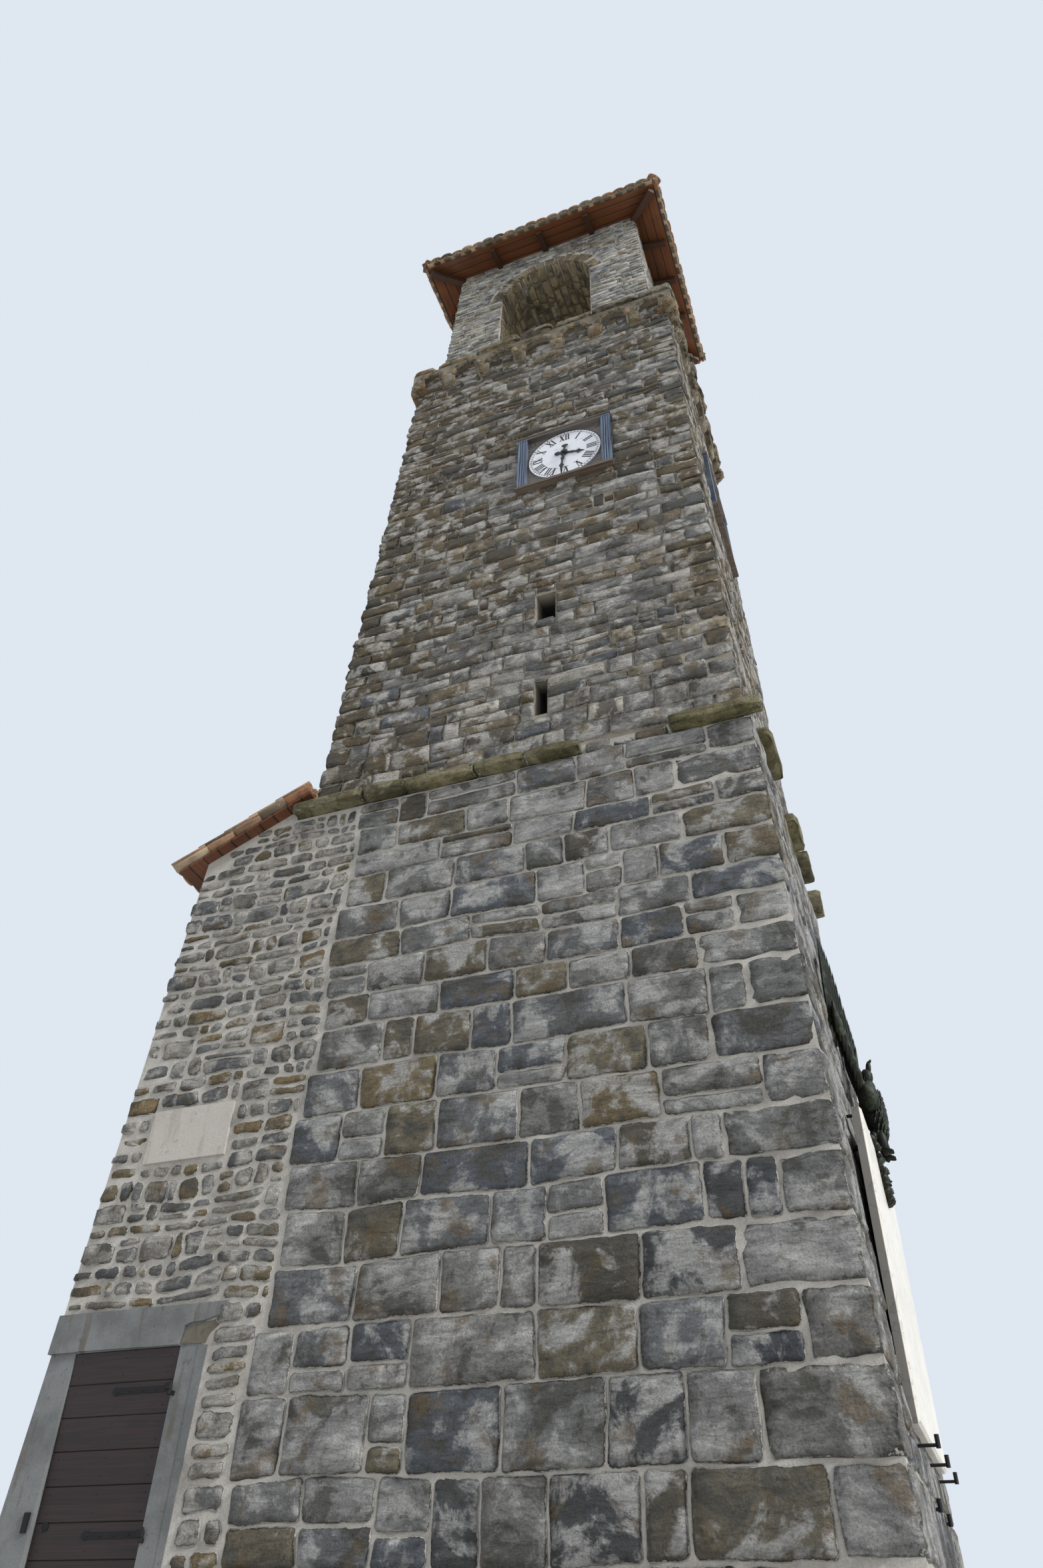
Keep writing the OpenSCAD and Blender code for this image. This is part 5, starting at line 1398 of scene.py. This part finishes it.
# Annex front: a blank rendered plaque, and a door case of smooth dressed stone
# whose lintel is cracked and has lost its lower right corner.
def dressed_finish(name, colour, dark, stain):
    """Sandstone dressed smooth: fine even grain, faint tooling, water stains."""
    mat, shader, place = surface(name, 0.8)
    wide = add(mat, "TexNoise", {
        "Vector": place, "Scale": 1 / 0.5, "Detail": 8.0, "Roughness": 0.65,
    })
    run = add(mat, "Mapping", {0: place, 3: (7.0, 7.0, 0.9)})
    wash = add(mat, "TexNoise", {"Vector": run, "Scale": 1.0, "Detail": 6.0, "Roughness": 0.6})
    grit = add(mat, "TexNoise", {
        "Vector": place, "Scale": 1 / 0.01, "Detail": 4.0, "Roughness": 0.7,
    })
    worn = add(mat, "TexNoise", {
        "Vector": place, "Scale": 1 / 0.07, "Detail": 6.0, "Roughness": 0.7,
    })
    low = add(mat, "MapRange", {0: wide, 1: 0.42, 2: 0.6, 3: 0.0, 4: 0.8})
    one = add(mat, "Mix", {0: low, 6: rgb(colour), 7: rgb(dark)}, data_type="RGBA")
    wet = add(mat, "MapRange", {0: wash, 1: 0.56, 2: 0.64, 3: 0.0, 4: 0.65})
    two = add(mat, "Mix", {0: wet, 6: one, 7: rgb(stain)}, data_type="RGBA")
    speck = add(mat, "MapRange", {0: grit, 1: 0.3, 2: 0.7, 3: 0.82, 4: 1.14})
    chip = add(mat, "MapRange", {0: worn, 1: 0.34, 2: 0.4, 3: 0.72, 4: 1.0})
    tone = add(mat, "Math", {0: speck, 1: chip}, operation="MULTIPLY")
    three = add(mat, "Mix", {0: 1.0, 6: two, 7: tone}, data_type="RGBA", blend_type="MULTIPLY")
    high = add(mat, "Math", {0: chip, 1: 2.0, 2: grit}, operation="MULTIPLY_ADD")
    bump = add(mat, "Bump", {"Height": high, "Distance": 0.003, "Strength": 0.8})
    plug(shader, {"Base Color": three, "Normal": bump})
    return mat


dressed = dressed_finish("smooth_dressed_sandstone", "777a7a", "5c5f60", "554e41")
finish(dressed, "door_jambs", "door_sill", "door_lintel")
finish(dressed_finish("plaque_lime_render", "b5b0aa", "aaa59f", "a19b92"), "annex_plaque")
finish(dressed_finish("worn_floor_stone", "8b8880", "6f6c64", "5c5546"), "ground_floor")


def dressed_slab(name, outline, out, deep, material):
    """Slab with the given outline on the leaning front face of the lower stage."""
    bm, place = bmesh.new(), lower_face("front")
    bm.faces.new([bm.verts.new(place(x, z, out)) for x, z in outline])
    edges = [e for e in bm.edges if e.calc_length() > 0.08]
    bmesh.ops.subdivide_edges(bm, edges=edges, cuts=7)
    for vert in bm.verts:
        push = noise.noise_vector(vert.co * 21.0)
        vert.co += Vector((push.x, 0, push.z)) * 0.004
    back = bmesh.ops.extrude_face_region(bm, geom=bm.faces[:])
    for vert in back["geom"]:
        if isinstance(vert, bmesh.types.BMVert):
            vert.co.y += deep
    bmesh.ops.recalc_face_normals(bm, faces=bm.faces[:])
    bmesh.ops.triangulate(bm, faces=bm.faces[:])
    piece(name, bm, "dressed_stone", material, smooth=False)


dressed_slab("lintel_face", (
    (-4.105, 1.985), (-3.80, 1.99), (-2.83, 1.985), (-2.812, 2.06), (-2.795, 2.12),
    (-2.74, 2.145), (-2.62, 2.15), (-2.53, 2.175), (-2.47, 2.185), (-2.44, 2.21),
    (-2.435, 2.285), (-4.09, 2.285),
), 0.022, 0.04, dressed)
chipped = dressed_finish("broken_lintel_stone", "6f6a5d", "57534a", "4f4632")
dressed_slab("lintel_broken_end", (
    (-2.80, 1.99), (-2.58, 1.985), (-2.56, 2.05), (-2.49, 2.11), (-2.47, 2.16),
    (-2.60, 2.14), (-2.75, 2.12), (-2.79, 2.08),
), 0.006, 0.03, chipped)
dressed_slab("jamb_edge", (
    (-2.64, 0.02), (-2.585, 0.02), (-2.575, 1.0), (-2.555, 1.97), (-2.64, 1.975),
), 0.004, 0.02, dressed)

# Door: eight level boards, tongued and dark brown, nailed to ledges behind, on
# two forged straps, with a round lock and an iron keeper on the jamb.
DOOR_BOARD, BOARDS, STRAPS_Z = 0.2325, 8, (1.68, 0.735)


def board_finish():
    """Oiled hardwood: grain along each level board, boards of their own tone."""
    mat, shader, place = surface("oiled_door_boards", 0.5)
    at = add(mat, "SeparateXYZ", {0: place})
    row = add(mat, "Math", {0: at.outputs[2], 1: DOOR_BOARD}, operation="DIVIDE")
    number = add(mat, "Math", {0: row}, operation="FLOOR")
    tone = add(mat, "TexWhiteNoise", {"W": number}, noise_dimensions="1D")
    own = add(mat, "CombineXYZ", {0: tone, 2: number})
    flow = add(mat, "Mapping", {0: place, 3: (2.2, 60.0, 120.0)})
    flow = add(mat, "VectorMath", {0: own, 1: (17.0, 0.0, 5.0), 2: flow}, operation="MULTIPLY_ADD")
    grain = add(mat, "TexNoise", {"Vector": flow, "Scale": 1.0, "Detail": 6.0, "Roughness": 0.62})
    wear = add(mat, "TexNoise", {"Vector": place, "Scale": 1 / 0.35, "Detail": 5.0})
    line = add(mat, "MapRange", {0: grain, 1: 0.38, 2: 0.62})
    one = add(mat, "Mix", {0: line, 6: rgb("120909"), 7: rgb("2a1716")}, data_type="RGBA")
    dull = add(mat, "MapRange", {0: wear, 1: 0.5, 2: 0.75, 3: 0.0, 4: 0.5})
    two = add(mat, "Mix", {0: dull, 6: one, 7: rgb("241a1a")}, data_type="RGBA")
    shade = add(mat, "MapRange", {0: tone, 3: 0.8, 4: 1.2})
    three = add(mat, "Mix", {0: 1.0, 6: two, 7: shade}, data_type="RGBA", blend_type="MULTIPLY")
    bump = add(mat, "Bump", {"Height": grain, "Distance": 0.0015, "Strength": 0.7})
    plug(shader, {"Base Color": three, "Normal": bump})
    return mat


finish(board_finish(), "door_leaf")
nails = bmesh.new()


def drive(x, y, z, r, out, detail):
    """A flat round nail head."""
    at = Matrix.Translation((x, y, z)) @ Matrix.Diagonal((r, out, r, 1.0))
    bmesh.ops.create_icosphere(nails, subdivisions=detail, radius=1.0, matrix=at)


low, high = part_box("door_leaf")
for k in range(BOARDS):
    z = low.z + (k + 0.5) * (high.z - low.z) / BOARDS
    for x in (low.x + 0.07, (low.x + high.x) / 2, high.x - 0.07):
        for dz in (-0.06, 0.06):
            drive(x + rng.uniform(-0.006, 0.006), low.y, z + dz, 0.006, 0.002, 1)
for z in STRAPS_Z:
    for x in (-3.32, -3.20, -3.08, -2.96, -2.86):
        drive(x, -2.1509, z, 0.011, 0.005, 2)
piece("door_nails", nails, "wrought_iron", wrought_iron, body="door")
